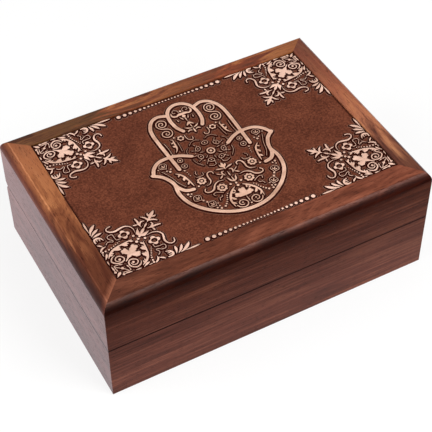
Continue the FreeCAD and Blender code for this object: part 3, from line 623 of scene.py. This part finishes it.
BEAD_SIDES = 16
BEAD_SECTION = (
    # share of the radius, height over the ground, how burnt
    (1.8, -0.00004, 0.0), (1.42, 0.00006, 1.0), (1.0, 0.0001, 1.0),
    (0.96, 0.00044, 0.8), (0.8, 0.00056, 0.12), (0.4, RELIEF_HEIGHT, 0.0),
)


def round_points(reach, height, sides):
    """Points of a level circle round Z."""
    return [(reach * math.cos(2 * math.pi * i / sides), reach * math.sin(2 * math.pi * i / sides),
             height) for i in range(sides)]


def bead_pattern():
    """One bead of unit radius, as a turned solid with its burnt skirt."""
    points = []
    for reach, height, _ in BEAD_SECTION:
        points += round_points(reach, height, BEAD_SIDES)
    faces = [tuple(range(BEAD_SIDES))[::-1]]
    for low in range(0, len(points) - BEAD_SIDES, BEAD_SIDES):
        for i in range(BEAD_SIDES):
            j = (i + 1) % BEAD_SIDES
            faces.append((low + i, low + j, low + BEAD_SIDES + j, low + BEAD_SIDES + i))
    faces.append(tuple(range(len(points) - BEAD_SIDES, len(points))))
    mesh = bpy.data.meshes.new("bead_pattern")
    mesh.from_pydata(points, [], faces)
    burn = mesh.attributes.new("burn", "FLOAT", "POINT")
    burn.data.foreach_set("value", [b for _, _, b in BEAD_SECTION for _ in range(BEAD_SIDES)])
    return bpy.data.objects.new("bead_pattern", mesh)


def row_nodes():
    """Stands a pattern on every point, as wide as the point's radius."""
    group = bpy.data.node_groups.new("stood_in_rows", "GeometryNodeTree")
    for name, kind in (("Geometry", "Geometry"), ("Pattern", "Object"), ("Material", "Material")):
        group.interface.new_socket(name, in_out="INPUT", socket_type=f"NodeSocket{kind}")
    group.interface.new_socket("Geometry", in_out="OUTPUT", socket_type="NodeSocketGeometry")
    start = add_node(group, "NodeGroupInput").outputs
    pattern = add_node(group, "GeometryNodeObjectInfo", {"Object": start["Pattern"]})
    radius = add_node(group, "GeometryNodeInputNamedAttribute", {"Name": "radius"},
                      data_type="FLOAT").outputs["Attribute"]
    scale = add_node(group, "ShaderNodeCombineXYZ", {"X": radius, "Y": radius, "Z": 1.0})
    stand = add_node(group, "GeometryNodeInstanceOnPoints", {
        "Points": start["Geometry"], "Instance": pattern.outputs["Geometry"],
        "Scale": scale.outputs[0],
    })
    real = add_node(group, "GeometryNodeRealizeInstances", {0: stand.outputs[0]})
    smooth = add_node(group, "GeometryNodeSetShadeSmooth", {0: real.outputs[0]})
    dressed = add_node(group, "GeometryNodeSetMaterial", {"Geometry": smooth.outputs[0],
                                                          "Material": start["Material"]})
    add_node(group, "NodeGroupOutput", {0: dressed.outputs[0]})
    return group


in_rows = row_nodes()


def set_in_rows(name, places, height, pattern, material):
    """Mesh of one pattern repeated at its places by Geometry Nodes."""
    mesh = bpy.data.meshes.new(name)
    mesh.from_pydata([(x, y, height) for x, y, _ in places], [], [])
    radius = mesh.attributes.new("radius", "FLOAT", "POINT")
    radius.data.foreach_set("value", [r for _, _, r in places])
    thing = put_in_scene(name, mesh)
    modifier = thing.modifiers.new("rows", "NODES")
    modifier.node_group = in_rows
    sockets = {item.name: item.identifier for item in in_rows.interface.items_tree
               if item.in_out == "INPUT"}
    modifier[sockets["Pattern"]] = pattern
    modifier[sockets["Material"]] = material
    shaped = thing.evaluated_get(bpy.context.evaluated_depsgraph_get())
    baked = bpy.data.meshes.new_from_object(shaped)
    thing.modifiers.clear()
    thing.data = baked
    bpy.data.meshes.remove(mesh)
    return thing


# The hand stands a little right of the panel's middle and behind it.
HAND_MIDDLE = (0.9, 0.5)
# A corner spray starts this far inside its corner, and it is longer along the front than
# from front to back.
CORNER_MARGIN = 0.0003
CORNER_STRETCH = (1.05, 0.95)


def panel_place(x, y):
    """Puts a point of the drawing on the panel, from its middle."""
    return Vector((x, y)) * DRAWING_UNIT


def hand_place(flip_x=1):
    """Puts a point of the hand on the panel, on one side of its middle line."""
    return lambda x, y: panel_place(flip_x * x + HAND_MIDDLE[0], y + HAND_MIDDLE[1])


def corner_place(side_x, side_y, swapped):
    """Puts a point of a corner spray on the panel, from that corner inwards."""
    corner = Vector((side_x * (PANEL_HIGH.x - CORNER_MARGIN),
                     side_y * (PANEL_HIGH.y - CORNER_MARGIN)))

    def place(x, y):
        if swapped:
            x, y = y, x
        return corner + panel_place(-side_x * x * CORNER_STRETCH[0],
                                    -side_y * y * CORNER_STRETCH[1])

    return place


def corner_spray_half(wood):
    """Half of a corner spray: x runs along one edge of the panel and y away from it."""
    wood.stroke([
        (13.8, 4.9), (13.0, 3.2), (10.8, 2.1), (8.6, 3.8), (8.3, 5.8), (9.0, 7.4), (10.6, 7.8),
        (12.4, 6.5), (12.4, 4.9), (11.1, 3.9), (9.7, 4.4), (9.3, 5.8),
    ], [0.3, 0.8, 0.9, 0.9, 0.9, 0.8, 0.8, 0.8, 0.75, 0.7, 0.65, 0.5])
    wood.beads((10.4, 5.8, 0.75))
    # Acanthus arm with its lobes
    wood.stroke([
        (13.4, 1.8), (15.4, 3.2), (17.1, 5.1), (18.3, 7.7), (18.7, 10.3), (19.0, 12.6),
        (19.5, 15.6),
    ], [0.4, 1.2, 1.3, 1.0, 1.0, 1.0, 0.3])
    wood.leaves(
        ((14.6, 2.6), (14.6, 4.4), 1.3), ((15.6, 3.4), (15.4, 5.2), 1.1),
        ((17.2, 5.2), (15.9, 8.9), 2.3, -0.5), ((17.9, 6.9), (17.4, 9.0), 1.3),
        ((18.6, 9.6), (16.6, 12.4), 2.1, -0.4), ((18.9, 11.3), (17.6, 13.4), 1.1),
        ((19.2, 13.4), (17.9, 15.6), 1.4, -0.2),
    )
    # Side petal of the blossom
    wood.petal((11.4, 11.0), (14.7, 9.6), 3.2)
    wood.stroke([(13.2, 8.6), (14.6, 8.5)], [1.0, 0.9])
    # Scroll, rosette and wavy line beside them
    wood.stroke([
        (32.3, 10.3), (32.0, 8.6), (30.7, 7.8), (29.1, 8.6), (28.2, 11.1), (28.8, 13.7),
        (29.0, 15.8), (27.8, 17.9), (25.2, 18.9), (22.7, 18.5),
    ], [0.8, 0.75, 0.75, 0.8, 1.15, 1.15, 0.9, 0.7, 0.55, 0.2])
    wood.ring(24.2, 13.7, 1.9, 1.15, lobes=4, depth=0.55)
    wood.stroke([
        (22.1, 4.2), (23.2, 5.3), (23.0, 6.5), (22.3, 7.6), (23.2, 7.9), (25.0, 6.5),
        (26.7, 6.6), (27.2, 8.0), (26.7, 9.2), (24.3, 9.2), (22.6, 9.6), (22.5, 11.4),
    ], 0.5)
    wood.beads(
        (18.3, 0.95, 0.6), (18.4, 2.4, 0.55), (18.6, 4.1, 0.5), (19.0, 5.5, 0.42),
        (19.6, 6.8, 0.4), (20.1, 8.0, 0.36), (20.6, 9.1, 0.32), (21.1, 10.2, 0.28),
        (21.1, 17.1, 0.7),
    )
    # Palmette, curl and fan that grow from the edge
    wood.stroke([(19.2, 0.4), (20.2, 1.1), (20.9, 2.2), (21.1, 3.7)], [0.8, 1.1, 1.0, 0.3])
    wood.leaf((21.0, 2.6), (23.9, 0.3), 1.2, 0.3)
    wood.stroke([(25.4, 0.5), (27.4, 0.6), (28.1, 1.9), (27.5, 3.5), (25.5, 4.4)],
                [0.8, 1.2, 1.3, 1.1, 0.5])
    wood.leaves(
        ((28.0, 1.6), (25.9, 1.7), 0.8), ((27.9, 2.8), (25.7, 2.9), 0.9),
        ((29.3, 0.7), (30.4, 5.4), 1.7, -0.3), ((30.3, 0.5), (33.6, 5.0), 1.8, -0.4),
        ((31.5, 0.4), (37.2, 4.7), 2.1, -0.6), ((33.3, 0.5), (41.0, 0.6), 1.3, -0.1),
        ((9.4, 0.5), (12.2, 0.5), 1.0), ((13.4, 0.4), (16.8, 2.2), 1.5, 0.2),
        ((15.8, 0.5), (17.6, 0.6), 0.8),
    )
    # Broken lattice in the very corner
    wood.leaf((3.3, 0.9), (7.9, 0.7), 1.1, 0.2)
    wood.stroke([(4.0, 2.2), (6.0, 1.9), (7.6, 2.0), (7.5, 3.6)], 0.6)
    wood.stroke([(3.9, 5.2), (5.6, 3.6), (6.6, 2.2)], 0.55)
    wood.leaf((6.9, 5.8), (7.6, 3.9), 0.9)
    wood.beads((1.0, 3.8, 0.7))
    # Sprig at the tip
    wood.stroke([(19.9, 19.8), (21.6, 19.5), (23.0, 20.0), (24.7, 20.6)], [1.0, 2.2, 1.3, 0.3])
    wood.stroke([(24.6, 22.6), (26.6, 22.3), (29.0, 22.4), (31.0, 22.1)], [0.4, 1.0, 1.2, 0.8])
    wood.leaf((26.8, 22.2), (27.3, 19.4), 1.2)
    wood.stroke([(26.4, 22.6), (27.9, 23.8), (27.6, 25.3)], [0.9, 1.1, 0.5])
    wood.stroke([(27.2, 27.2), (29.4, 26.4), (30.9, 25.0)], [1.0, 1.1, 0.5])
    wood.leaf((28.8, 28.6), (31.8, 28.6), 1.3, -0.2)


def corner_spray_middle(wood):
    """Forms on the diagonal of a corner spray."""
    wood.leaf((0.7, 0.7), (3.1, 3.1), 1.9)
    wood.stroke([(8.0, 8.0), (9.4, 9.4), (10.6, 10.6), (11.8, 11.8)], [0.8, 1.0, 2.4, 2.0])
    wood.petal((11.4, 11.4), (14.8, 14.8), 3.7)
    wood.beads((4.7, 4.7, 0.8), (16.9, 16.9, 0.85), (18.2, 18.2, 0.75), (19.4, 19.4, 0.62))
    wood.leaves(((19.8, 19.8), (23.4, 23.4), 1.9), ((23.0, 23.0), (26.0, 26.0), 1.2),
                ((26.4, 26.4), (31.9, 31.9), 2.3))


RIB_WIDTH = 2.1
RIB_GROOVE = 0.3
EYE_Y = 3.1
EYE_PETALS = 7
PETAL_REACH = 6.6


def round_eye(reach, angle):
    """Point at some reach from the middle of the eye in the palm."""
    return reach * math.cos(angle), EYE_Y + reach * math.sin(angle)


def hand_half(wood):
    """Half of the open hand: its outline and the ornament on that side of its middle."""
    for line in (
        [(19.9, -1.4), (20.3, 10.0), (20.6, 20.0), (20.5, 27.0), (19.4, 32.0), (16.4, 36.4),
         (12.4, 37.9), (8.2, 36.6)],
        [(10.2, 4.0), (15.4, 7.2), (20.6, 8.5), (26.6, 8.0), (30.8, 4.9), (33.2, 0.4)],
        [(33.6, 0.9), (29.6, -2.4), (27.2, -7.2), (26.2, -12.2), (23.8, -15.8), (20.0, -16.8)],
    ):
        wood.stroke(line, RIB_WIDTH, RIB_GROOVE)
    # Palmette of the middle finger
    wood.stroke([(3.0, 33.6), (4.7, 33.9), (5.5, 35.2), (5.2, 36.9)], [0.9, 1.2, 1.1, 0.5])
    wood.stroke([(1.3, 35.7), (1.4, 37.4), (2.8, 38.5), (4.1, 37.8), (4.0, 36.4), (2.9, 36.3)],
                0.45)
    wood.stroke([(0, 34.2), (1.9, 34.3), (3.3, 33.7)], [1.9, 1.7, 0.9])
    wood.leaves(((2.5, 32.4), (1.2, 29.9), 0.9), ((4.6, 31.4), (4.1, 29.4), 0.8),
                ((0.2, 27.6), (2.0, 24.9), 1.3, -0.2))
    wood.stroke([(0.6, 22.4), (2.2, 23.0), (3.9, 24.2)], [0.5, 1.0, 0.4])
    wood.stroke([(1.0, 20.8), (2.3, 21.4), (3.5, 20.6)], [0.5, 0.9, 0.5])
    # Rosette, curl and acanthus that hang below the finger
    wood.ring(9.1, 18.2, 1.3, 0.9, lobes=6)
    wood.stroke([(6.4, 19.2), (6.4, 16.7), (5.5, 15.2), (4.2, 14.7), (3.4, 15.5), (3.4, 16.5)],
                0.6)
    wood.stroke([(13.3, 18.9), (13.6, 16.6), (13.9, 13.6), (14.5, 11.6), (15.9, 9.9)],
                [0.6, 1.0, 1.1, 0.8, 0.3])
    wood.leaves(((13.4, 17.4), (15.2, 16.6), 1.2), ((13.9, 13.4), (15.3, 15.0), 1.6),
                ((13.3, 18.6), (14.2, 19.6), 0.7))
    wood.stroke([(18.3, 18.6), (18.0, 14.0), (18.2, 9.8)], 0.38)
    wood.stroke([(11.9, 16.4), (12.2, 12.8), (12.7, 9.6)], 0.36)
    wood.beads((12.0, 20.1, 0.5), (18.2, 9.2, 0.45))
    # Petals and rays round the eye in the palm, then thin lines that close it in
    for step in (1, 2, 3):
        angle = math.radians(90 - step * 360 / EYE_PETALS)
        wood.ring(*round_eye(PETAL_REACH, angle), 1.65, 0.46, oval=0.74,
                  turn=angle + math.pi / 2, dot=0.36)
        for offset, near, far in ((-180, 3.9, 5.6), (-90, 8.6, 9.6), (90, 8.6, 9.6)):
            ray = angle + math.radians(offset / EYE_PETALS)
            wood.stroke([round_eye(near, ray), round_eye(far, ray)], 0.4)
            wood.beads((*round_eye(7.9, ray), 0.28))
    for line in (
        [(1.6, 12.6), (3.8, 13.6), (6.2, 12.9), (7.8, 11.2)],
        [(9.6, 9.8), (11.0, 8.2), (11.4, 6.0)],
        [(10.9, 1.6), (10.2, -1.6), (8.0, -4.6)],
        [(5.8, -6.0), (3.6, -7.0), (1.6, -6.2)],
    ):
        wood.stroke(line, 0.3)
    # Filling of the thumb
    wood.bud(26.3, 4.2, math.radians(-110))
    wood.beads((24.6, -0.6, 0.7), (23.6, 0.9, 0.45), (25.9, 0.5, 0.45), (29.4, 3.0, 0.4))
    wood.ring(16.8, 4.0, 1.35, 0.45, dot=0.55)
    wood.ring(16.6, -0.4, 1.45, 0.45, dot=0.5)
    wood.stroke([(28.4, 1.2), (26.0, -4.2), (24.6, -9.6), (22.6, -13.4)], 0.36)
    wood.beads((18.1, -3.4, 0.5), (17.6, -5.0, 0.32), (17.4, -6.4, 0.3), (17.2, -7.8, 0.3))
    wood.stroke([(23.1, -3.2), (20.8, -5.6), (19.7, -9.0), (19.2, -12.0), (18.9, -14.8)],
                [0.5, 1.2, 1.1, 1.0, 0.5])
    wood.leaves(((21.6, -4.4), (22.9, -6.0), 1.2), ((20.0, -7.0), (21.5, -9.6), 1.8, 0.2),
                ((19.4, -10.6), (21.0, -12.8), 1.5))
    # Two flowers in the palm, each with its scroll and wavy lines
    wood.ring(14.1, -13.6, 1.7, 1.15, lobes=8, dot=0.75)
    wood.stroke([(6.7, -11.8), (6.8, -10.4), (8.0, -9.8), (9.5, -10.5), (10.1, -12.6),
                 (10.1, -15.4), (11.4, -17.3), (13.6, -17.9)],
                [0.7, 0.7, 0.75, 0.85, 1.0, 0.85, 0.6, 0.25])
    wood.stroke([(11.0, -8.7), (11.3, -10.2), (13.0, -10.6), (15.2, -10.4)], 0.42)
    wood.stroke([(13.6, -6.6), (14.5, -7.6), (14.2, -8.9)], 0.4)
    wood.ring(7.5, -22.4, 1.85, 1.25, lobes=8, dot=0.8)
    wood.stroke([(4.6, -18.2), (7.3, -17.8), (9.8, -19.1), (11.4, -21.4), (13.5, -22.4),
                 (15.4, -22.0), (16.0, -20.6), (15.1, -19.4)],
                [0.3, 0.6, 0.9, 1.1, 0.9, 0.8, 0.75, 0.7])
    wood.stroke([(8.6, -25.8), (10.4, -24.6), (12.2, -23.9), (13.4, -24.6), (12.9, -25.9)], 0.5)
    wood.stroke([(10.1, -26.7), (10.5, -27.9), (11.8, -27.9), (12.3, -29.6)], 0.45)
    wood.beads(
        (17.1, -16.2, 0.6), (2.9, -22.3, 0.7), (7.2, -27.2, 0.36), (8.1, -28.3, 0.36),
        (8.6, -29.5, 0.38), (9.2, -30.7, 0.42), (10.0, -31.8, 0.48), (10.9, -32.9, 0.55),
        (12.0, -34.0, 0.65), (14.3, -34.3, 0.65), (14.4, -32.6, 0.5), (15.9, -33.2, 0.55),
        (24.2, -18.6, 0.7), (22.6, -19.2, 0.5), (23.8, -20.4, 0.5),
    )
    # Sprig over the palm
    wood.leaves(((0.3, -11.6), (4.7, -10.2), 1.2, 0.2), ((0.2, -10.6), (1.6, -8.0), 1.3, -0.2))
    wood.stroke([(1.6, -12.8), (2.7, -12.9), (2.9, -14.2), (2.2, -15.6)], [0.6, 0.9, 1.0, 0.5])
    wood.leaves(((3.2, -14.8), (5.8, -12.8), 0.9), ((3.0, -15.0), (5.4, -16.8), 1.1))
    wood.stroke([(0.3, -21.0), (1.4, -20.2), (1.9, -18.6), (2.3, -17.8)], [0.9, 1.1, 0.9, 0.4])
    # Blossom with an acanthus arm and a volute at the foot of the palm
    wood.stroke([(2.1, -24.8), (4.4, -26.6), (6.7, -29.4), (8.0, -32.6), (7.9, -36.8)],
                [0.4, 1.3, 1.3, 1.2, 0.4])
    wood.leaves(((3.6, -26.0), (3.1, -28.0), 1.3), ((5.4, -27.8), (3.6, -28.6), 1.1),
                ((7.0, -30.0), (5.0, -32.8), 1.8, 0.3), ((8.0, -33.0), (6.4, -35.4), 1.4, 0.2))
    wood.petal((0.3, -31.8), (3.9, -30.3), 3.1)
    wood.stroke([
        (7.0, -36.4), (6.0, -38.1), (3.9, -39.0), (1.9, -38.2), (1.2, -36.4), (2.2, -34.7),
        (4.2, -34.3), (5.4, -35.7), (4.8, -37.1), (3.5, -37.3),
    ], 0.72)
    # Buds along the edge of the palm
    for x, y in ((21.4, -23.2), (16.9, -29.9)):
        wood.bud(x, y, math.radians(-124))
    wood.beads((3.6, -35.9, 0.5), (19.6, -25.8, 0.62), (18.5, -27.4, 0.62), (14.3, -30.6, 0.4))


FINGER_SCROLL = (
    (0.1, 0.0), (0.9, 0.5), (0.9, 1.6), (-0.2, 2.0), (-1.2, 1.1), (-1.2, -0.4), (-0.1, -1.5),
    (1.5, -1.2), (2.7, 0.4), (2.4, 2.5), (0.4, 3.6), (-1.7, 2.9), (-2.7, 0.8), (-2.3, -1.1),
    (-0.9, -2.6), (1.0, -3.3), (2.5, -4.6), (2.7, -6.7), (1.7, -8.6), (-0.2, -9.4),
    (-2.1, -8.6), (-2.9, -6.8), (-2.1, -5.2), (-0.4, -4.7), (1.1, -5.8), (0.9, -7.3),
    (-0.3, -7.9), (-1.1, -7.0), (-0.4, -6.4),
)


def hand_middle(wood):
    """Forms on the hand's own middle line, and the scrolls of its two outer fingers."""
    for right in (
        [(5.4, 22.2), (7.3, 26.2), (7.9, 32.2), (6.9, 37.4), (4.0, 41.0)],
        [(26.8, -10.4), (27.7, -17.0), (25.6, -25.2), (19.2, -33.2), (9.6, -39.2)],
    ):
        crown = [(0, 42.2 if right[-1][1] > 0 else -41.0)]
        wood.stroke(right + crown + [(-x, y) for x, y in right[::-1]], RIB_WIDTH, RIB_GROOVE)
    wood.ring(0, EYE_Y, 1.9, 0.9, dot=0.8)
    wood.ring(0, EYE_Y + PETAL_REACH, 1.65, 0.46, oval=0.74, dot=0.36)
    wood.beads((0, 36.4, 0.7), (0, 32.3, 1.1), (0, 26.4, 0.9), (0, -22.8, 0.65),
               (0, -24.6, 0.8), (0, -38.0, 0.55))
    wood.petal((0, -31.6), (0, -27.9), 3.8)
    for root, tip, width in (
        (28.0, 31.6, 1.0), (22.6, 25.6, 0.9), (22.4, 18.6, 1.3), (-12.0, -6.9, 2.0),
        (-13.6, -17.2, 0.9), (-17.8, -22.0, 1.1), (-32.6, -37.2, 0.9),
    ):
        wood.leaf((0, root), (0, tip), width)
    # The two scrolls are alike and not mirrored.
    for x, y in ((14.4, 31.2), (-13.3, 31.2)):
        wood.stroke([(x + u, y + v) for u, v in FINGER_SCROLL], 0.72)


CHARRED = (0.026, 0.003, 0.001)
# How far inside the panel's edge its burn and the painted shade of the gap to the rails start to
# deepen, and where they are darkest
EDGE_BURN_AND_SHADE = (0.0012, 0.0004)


def carved_wood(name, shades):
    """Wood left proud of the burnt ground: pale on top, dark down its sides."""
    material, tree, surface = new_material(name)
    place = add_node(tree, "ShaderNodeTexCoord").outputs["Object"]
    grain = grain_at(tree, place, 30.0, 160.0, 0.5)
    burnt = add_node(tree, "ShaderNodeAttribute", attribute_name="burn").outputs["Fac"]
    pale = ramped(tree, grain["Tone"], shades, 0.3, 0.4)
    feed(tree, surface, {
        "Base Color": mixed(tree, remapped(tree, burnt, 0.1, 0.75), pale, CHARRED,
                            data_type="RGBA"),
        "Roughness": 0.65,
        "Specular IOR Level": 0.03,
        "Normal": relieved(tree, grain["Streaks"], 0.3),
    })
    return material


def browned_wood(name, shades):
    """Ground of the panel: cloudy brown with a fine speckle, darker along its four edges, where
    it is burnt and has painted shade for the gap to the rails.
    """
    material, tree, surface = new_material(name)
    place = add_node(tree, "ShaderNodeTexCoord").outputs["Object"]
    clouds = noise(tree, place, 75.0, 3)
    speckle = noise(tree, place, 1250.0, 3)
    colour = ramped(tree, mixed(tree, 0.72, clouds, speckle), shades, 0.36, 0.28)
    for way, edge in (((1, 0, 0), PANEL_HIGH.x), ((0, 1, 0), PANEL_HIGH.y)):
        rim = (way, 0.0, edge - EDGE_BURN_AND_SHADE[0], edge - EDGE_BURN_AND_SHADE[1], (0.3, 0.2, 0.17))
        colour = stained_and_shaded(tree, place, colour, rim)
    feed(tree, surface, {
        "Base Color": colour, "Roughness": 0.66, "Specular IOR Level": 0.08,
        "Normal": relieved(tree, speckle, 0.5),
    })
    return material


hand = Carving()
for side in (1, -1):
    hand.place = hand_place(side)
    hand_half(hand)
hand.place = hand_place()
hand_middle(hand)
hand_wood = carved_wood("carved_hand_wood", ((0.46, 0.26, 0.18), (0.74, 0.47, 0.35)))
hand_relief = hand.mesh_object("hand_relief", hand_wood)
pattern = bead_pattern()
hand_beads = set_in_rows("hand_beads", hand.bead_places, GROUND, pattern, hand_wood)

corners = Carving()
for side_x in (-1, 1):
    for side_y in (-1, 1):
        for swapped in (False, True):
            corners.place = corner_place(side_x, side_y, swapped)
            corner_spray_half(corners)
        corners.place = corner_place(side_x, side_y, False)
        corner_spray_middle(corners)
# The dots of a row grow, and stand further apart, towards its ends.
DOT_ROW_Y = 48.1
DOT_ROW_HALF = 28.8
DOTS_EACH_SIDE = 12
EVEN_SHARE = 0.75
SMALLEST_DOT = 0.5
DOT_GROWTH = 0.75
corners.place = panel_place
for side_y in (-1, 1):
    for i in range(2 * DOTS_EACH_SIDE + 1):
        share = i / DOTS_EACH_SIDE - 1
        x = DOT_ROW_HALF * (EVEN_SHARE * share + (1 - EVEN_SHARE) * share ** 3)
        corners.beads((x, side_y * DOT_ROW_Y, SMALLEST_DOT + DOT_GROWTH * share ** 2))
corner_wood = carved_wood("carved_corner_wood", ((0.52, 0.32, 0.24), (0.8, 0.53, 0.42)))
corner_relief = corners.mesh_object("corner_relief", corner_wood)
corner_beads = set_in_rows("corner_beads", corners.bead_places, GROUND, pattern, corner_wood)
bpy.data.objects.remove(pattern)

ground_mesh = bpy.data.meshes.new("panel_board")
ground_mesh.from_pydata(
    [(side_x * PANEL_HIGH.x, side_y * PANEL_HIGH.y, z)
     for z in (PANEL_LOW.z, GROUND) for side_x, side_y in FOUR_CORNERS],
    [],
    [(3, 2, 1, 0), (4, 5, 6, 7), (0, 1, 5, 4), (1, 2, 6, 5), (2, 3, 7, 6), (3, 0, 4, 7)],
)
panel_board = put_in_scene("panel_board", ground_mesh)
ground_mesh.materials.append(browned_wood("panel_ground", (
    (0.062, 0.0155, 0.0074), (0.107, 0.0285, 0.0142), (0.162, 0.047, 0.0235))))
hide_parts("top_panel")
for piece in (panel_board, hand_relief, hand_beads, corner_relief, corner_beads):
    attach(piece, "lid")


# Hinges
# Two small brass butts in the back rims, with their pins. The brass is brushed along the
# leaves and a little tarnished.

BRASS_SHADES = ((0.30, 0.17, 0.06), (0.66, 0.44, 0.17), (0.80, 0.58, 0.27))


def aged_brass(name, brushed=(40.0, 4000.0, 4000.0)):
    """Brass with fine scratches that run along X and brown tarnish in spots."""
    material, tree, metal = new_material(name)
    place = add_node(tree, "ShaderNodeTexCoord").outputs["Object"]
    scratches = noise(tree, place, brushed, 3)
    spots = noise(tree, place, 260.0, 5)
    feed(tree, metal, {
        "Metallic": 1.0,
        "Base Color": ramped(tree, spots, BRASS_SHADES, 0.34, 0.36),
        "Roughness": remapped(tree, spots, 0.0, 1.0, 0.48, 0.22),
        "Normal": relieved(tree, scratches, 0.2, 0.00005),
    })
    return material


brass = aged_brass("hinge_brass")
dress(brass, "left_hinge_base_leaf", "left_hinge_lid_leaf", "left_hinge_pin",
      "right_hinge_base_leaf", "right_hinge_lid_leaf", "right_hinge_pin")


# Screws of the hinges
# Eight slotted brass screws with sunk heads flush with the leaves, four in each rim. Each
# has a threaded shank and a point in the wood.

HEAD_RADIUS = 0.00154
HEAD_DEPTH = 0.0009
# The head's rim is eased: how far inside its radius, and its height.
EASED_RIM = ((0.00006, -0.00008), (0.00008, 0.0))
SLOT_REACH = HEAD_RADIUS * 0.86
SLOT_HALF_WIDTH = 0.000175
SLOT_DEPTH = 0.00035
SHANK_RADIUS = 0.00073
SHANK_NECK = 0.0004
POINT_LENGTH = 0.0014
POINT_RADIUS = SHANK_RADIUS * 0.7
THREAD_TURNS = 9
THREAD_ROOT = SHANK_RADIUS * 0.72
# One turn of the thread: share of its rise, radius.
THREAD_FORM = ((0.15, THREAD_ROOT), (0.5, SHANK_RADIUS), (0.85, THREAD_ROOT))
SCREW_SIDES = 24
# The screws stay this far inside their solids at both ends.
SUNK = 0.00001
SCREW_LOW, SCREW_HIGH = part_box("base_hinge_screws")
SCREW_LENGTH = SCREW_HIGH.z - SCREW_LOW.z - 2 * SUNK
HINGE_X = 0.052
SCREW_FROM_HINGE_X = 0.006


def screw_pattern(name):
    """One screw, its head's face on z = 0 and its point below."""
    shoulder = -SCREW_LENGTH + POINT_LENGTH
    section = [(POINT_RADIUS, shoulder)]
    step = (SCREW_LENGTH - POINT_LENGTH - HEAD_DEPTH - SHANK_NECK) / THREAD_TURNS
    for i in range(THREAD_TURNS):
        foot = shoulder + step * i
        section += [(reach, foot + share * step) for share, reach in THREAD_FORM]
    section.append((SHANK_RADIUS, -HEAD_DEPTH))
    section += [(HEAD_RADIUS - inside, height) for inside, height in EASED_RIM]
    form = bmesh.new()
    rings = [[form.verts.new(point) for point in round_points(reach, height, SCREW_SIDES)]
             for reach, height in section]
    tip = form.verts.new((0, 0, -SCREW_LENGTH))
    for i in range(SCREW_SIDES):
        j = (i + 1) % SCREW_SIDES
        form.faces.new((tip, rings[0][j], rings[0][i]))
        for low, high in zip(rings, rings[1:]):
            form.faces.new((low[i], low[j], high[j], high[i]))
    # Face of the head round its slot, then the slot's walls and floor
    slot = [(x * SLOT_REACH, y * SLOT_HALF_WIDTH) for x, y in FOUR_CORNERS]
    top = [form.verts.new((x, y, 0)) for x, y in slot]
    floor = [form.verts.new((x, y, -SLOT_DEPTH)) for x, y in slot]
    rim = [form.edges.new((top[i], top[(i + 1) % 4])) for i in range(4)]
    rim += [form.edges.get((rings[-1][i], rings[-1][(i + 1) % SCREW_SIDES]))
            for i in range(SCREW_SIDES)]
    bmesh.ops.triangle_fill(form, edges=rim, use_beauty=True, normal=(0, 0, 1))
    for i in range(4):
        j = (i + 1) % 4
        form.faces.new((top[j], top[i], floor[i], floor[j]))
    form.faces.new(floor)
    mesh = bpy.data.meshes.new(name)
    form.to_mesh(mesh)
    form.free()
    mesh.set_sharp_from_angle(angle=math.radians(40))
    return bpy.data.objects.new(name, mesh)


screw_brass = aged_brass("screw_brass", brushed=(900.0, 900.0, 900.0))
pattern = screw_pattern("screw_pattern")
for name, body, flip in (("base_hinge_screws", "base", 1), ("lid_hinge_screws", "lid", -1)):
    low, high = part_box(name)
    middle = (low.y + high.y) / 2
    places = [(side * HINGE_X + step, middle * flip, 1.0)
              for side in (-1, 1) for step in (-SCREW_FROM_HINGE_X, SCREW_FROM_HINGE_X)]
    face = high.z if flip > 0 else -low.z
    turned = set_in_rows(f"turned_{name}", places, face - SUNK, pattern, screw_brass)
    turned.data.transform(Matrix.Scale(flip, 4, (0, 0, 1)) @ Matrix.Scale(flip, 4, (0, 1, 0)))
    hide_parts(name)
    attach(turned, body)
bpy.data.objects.remove(pattern)
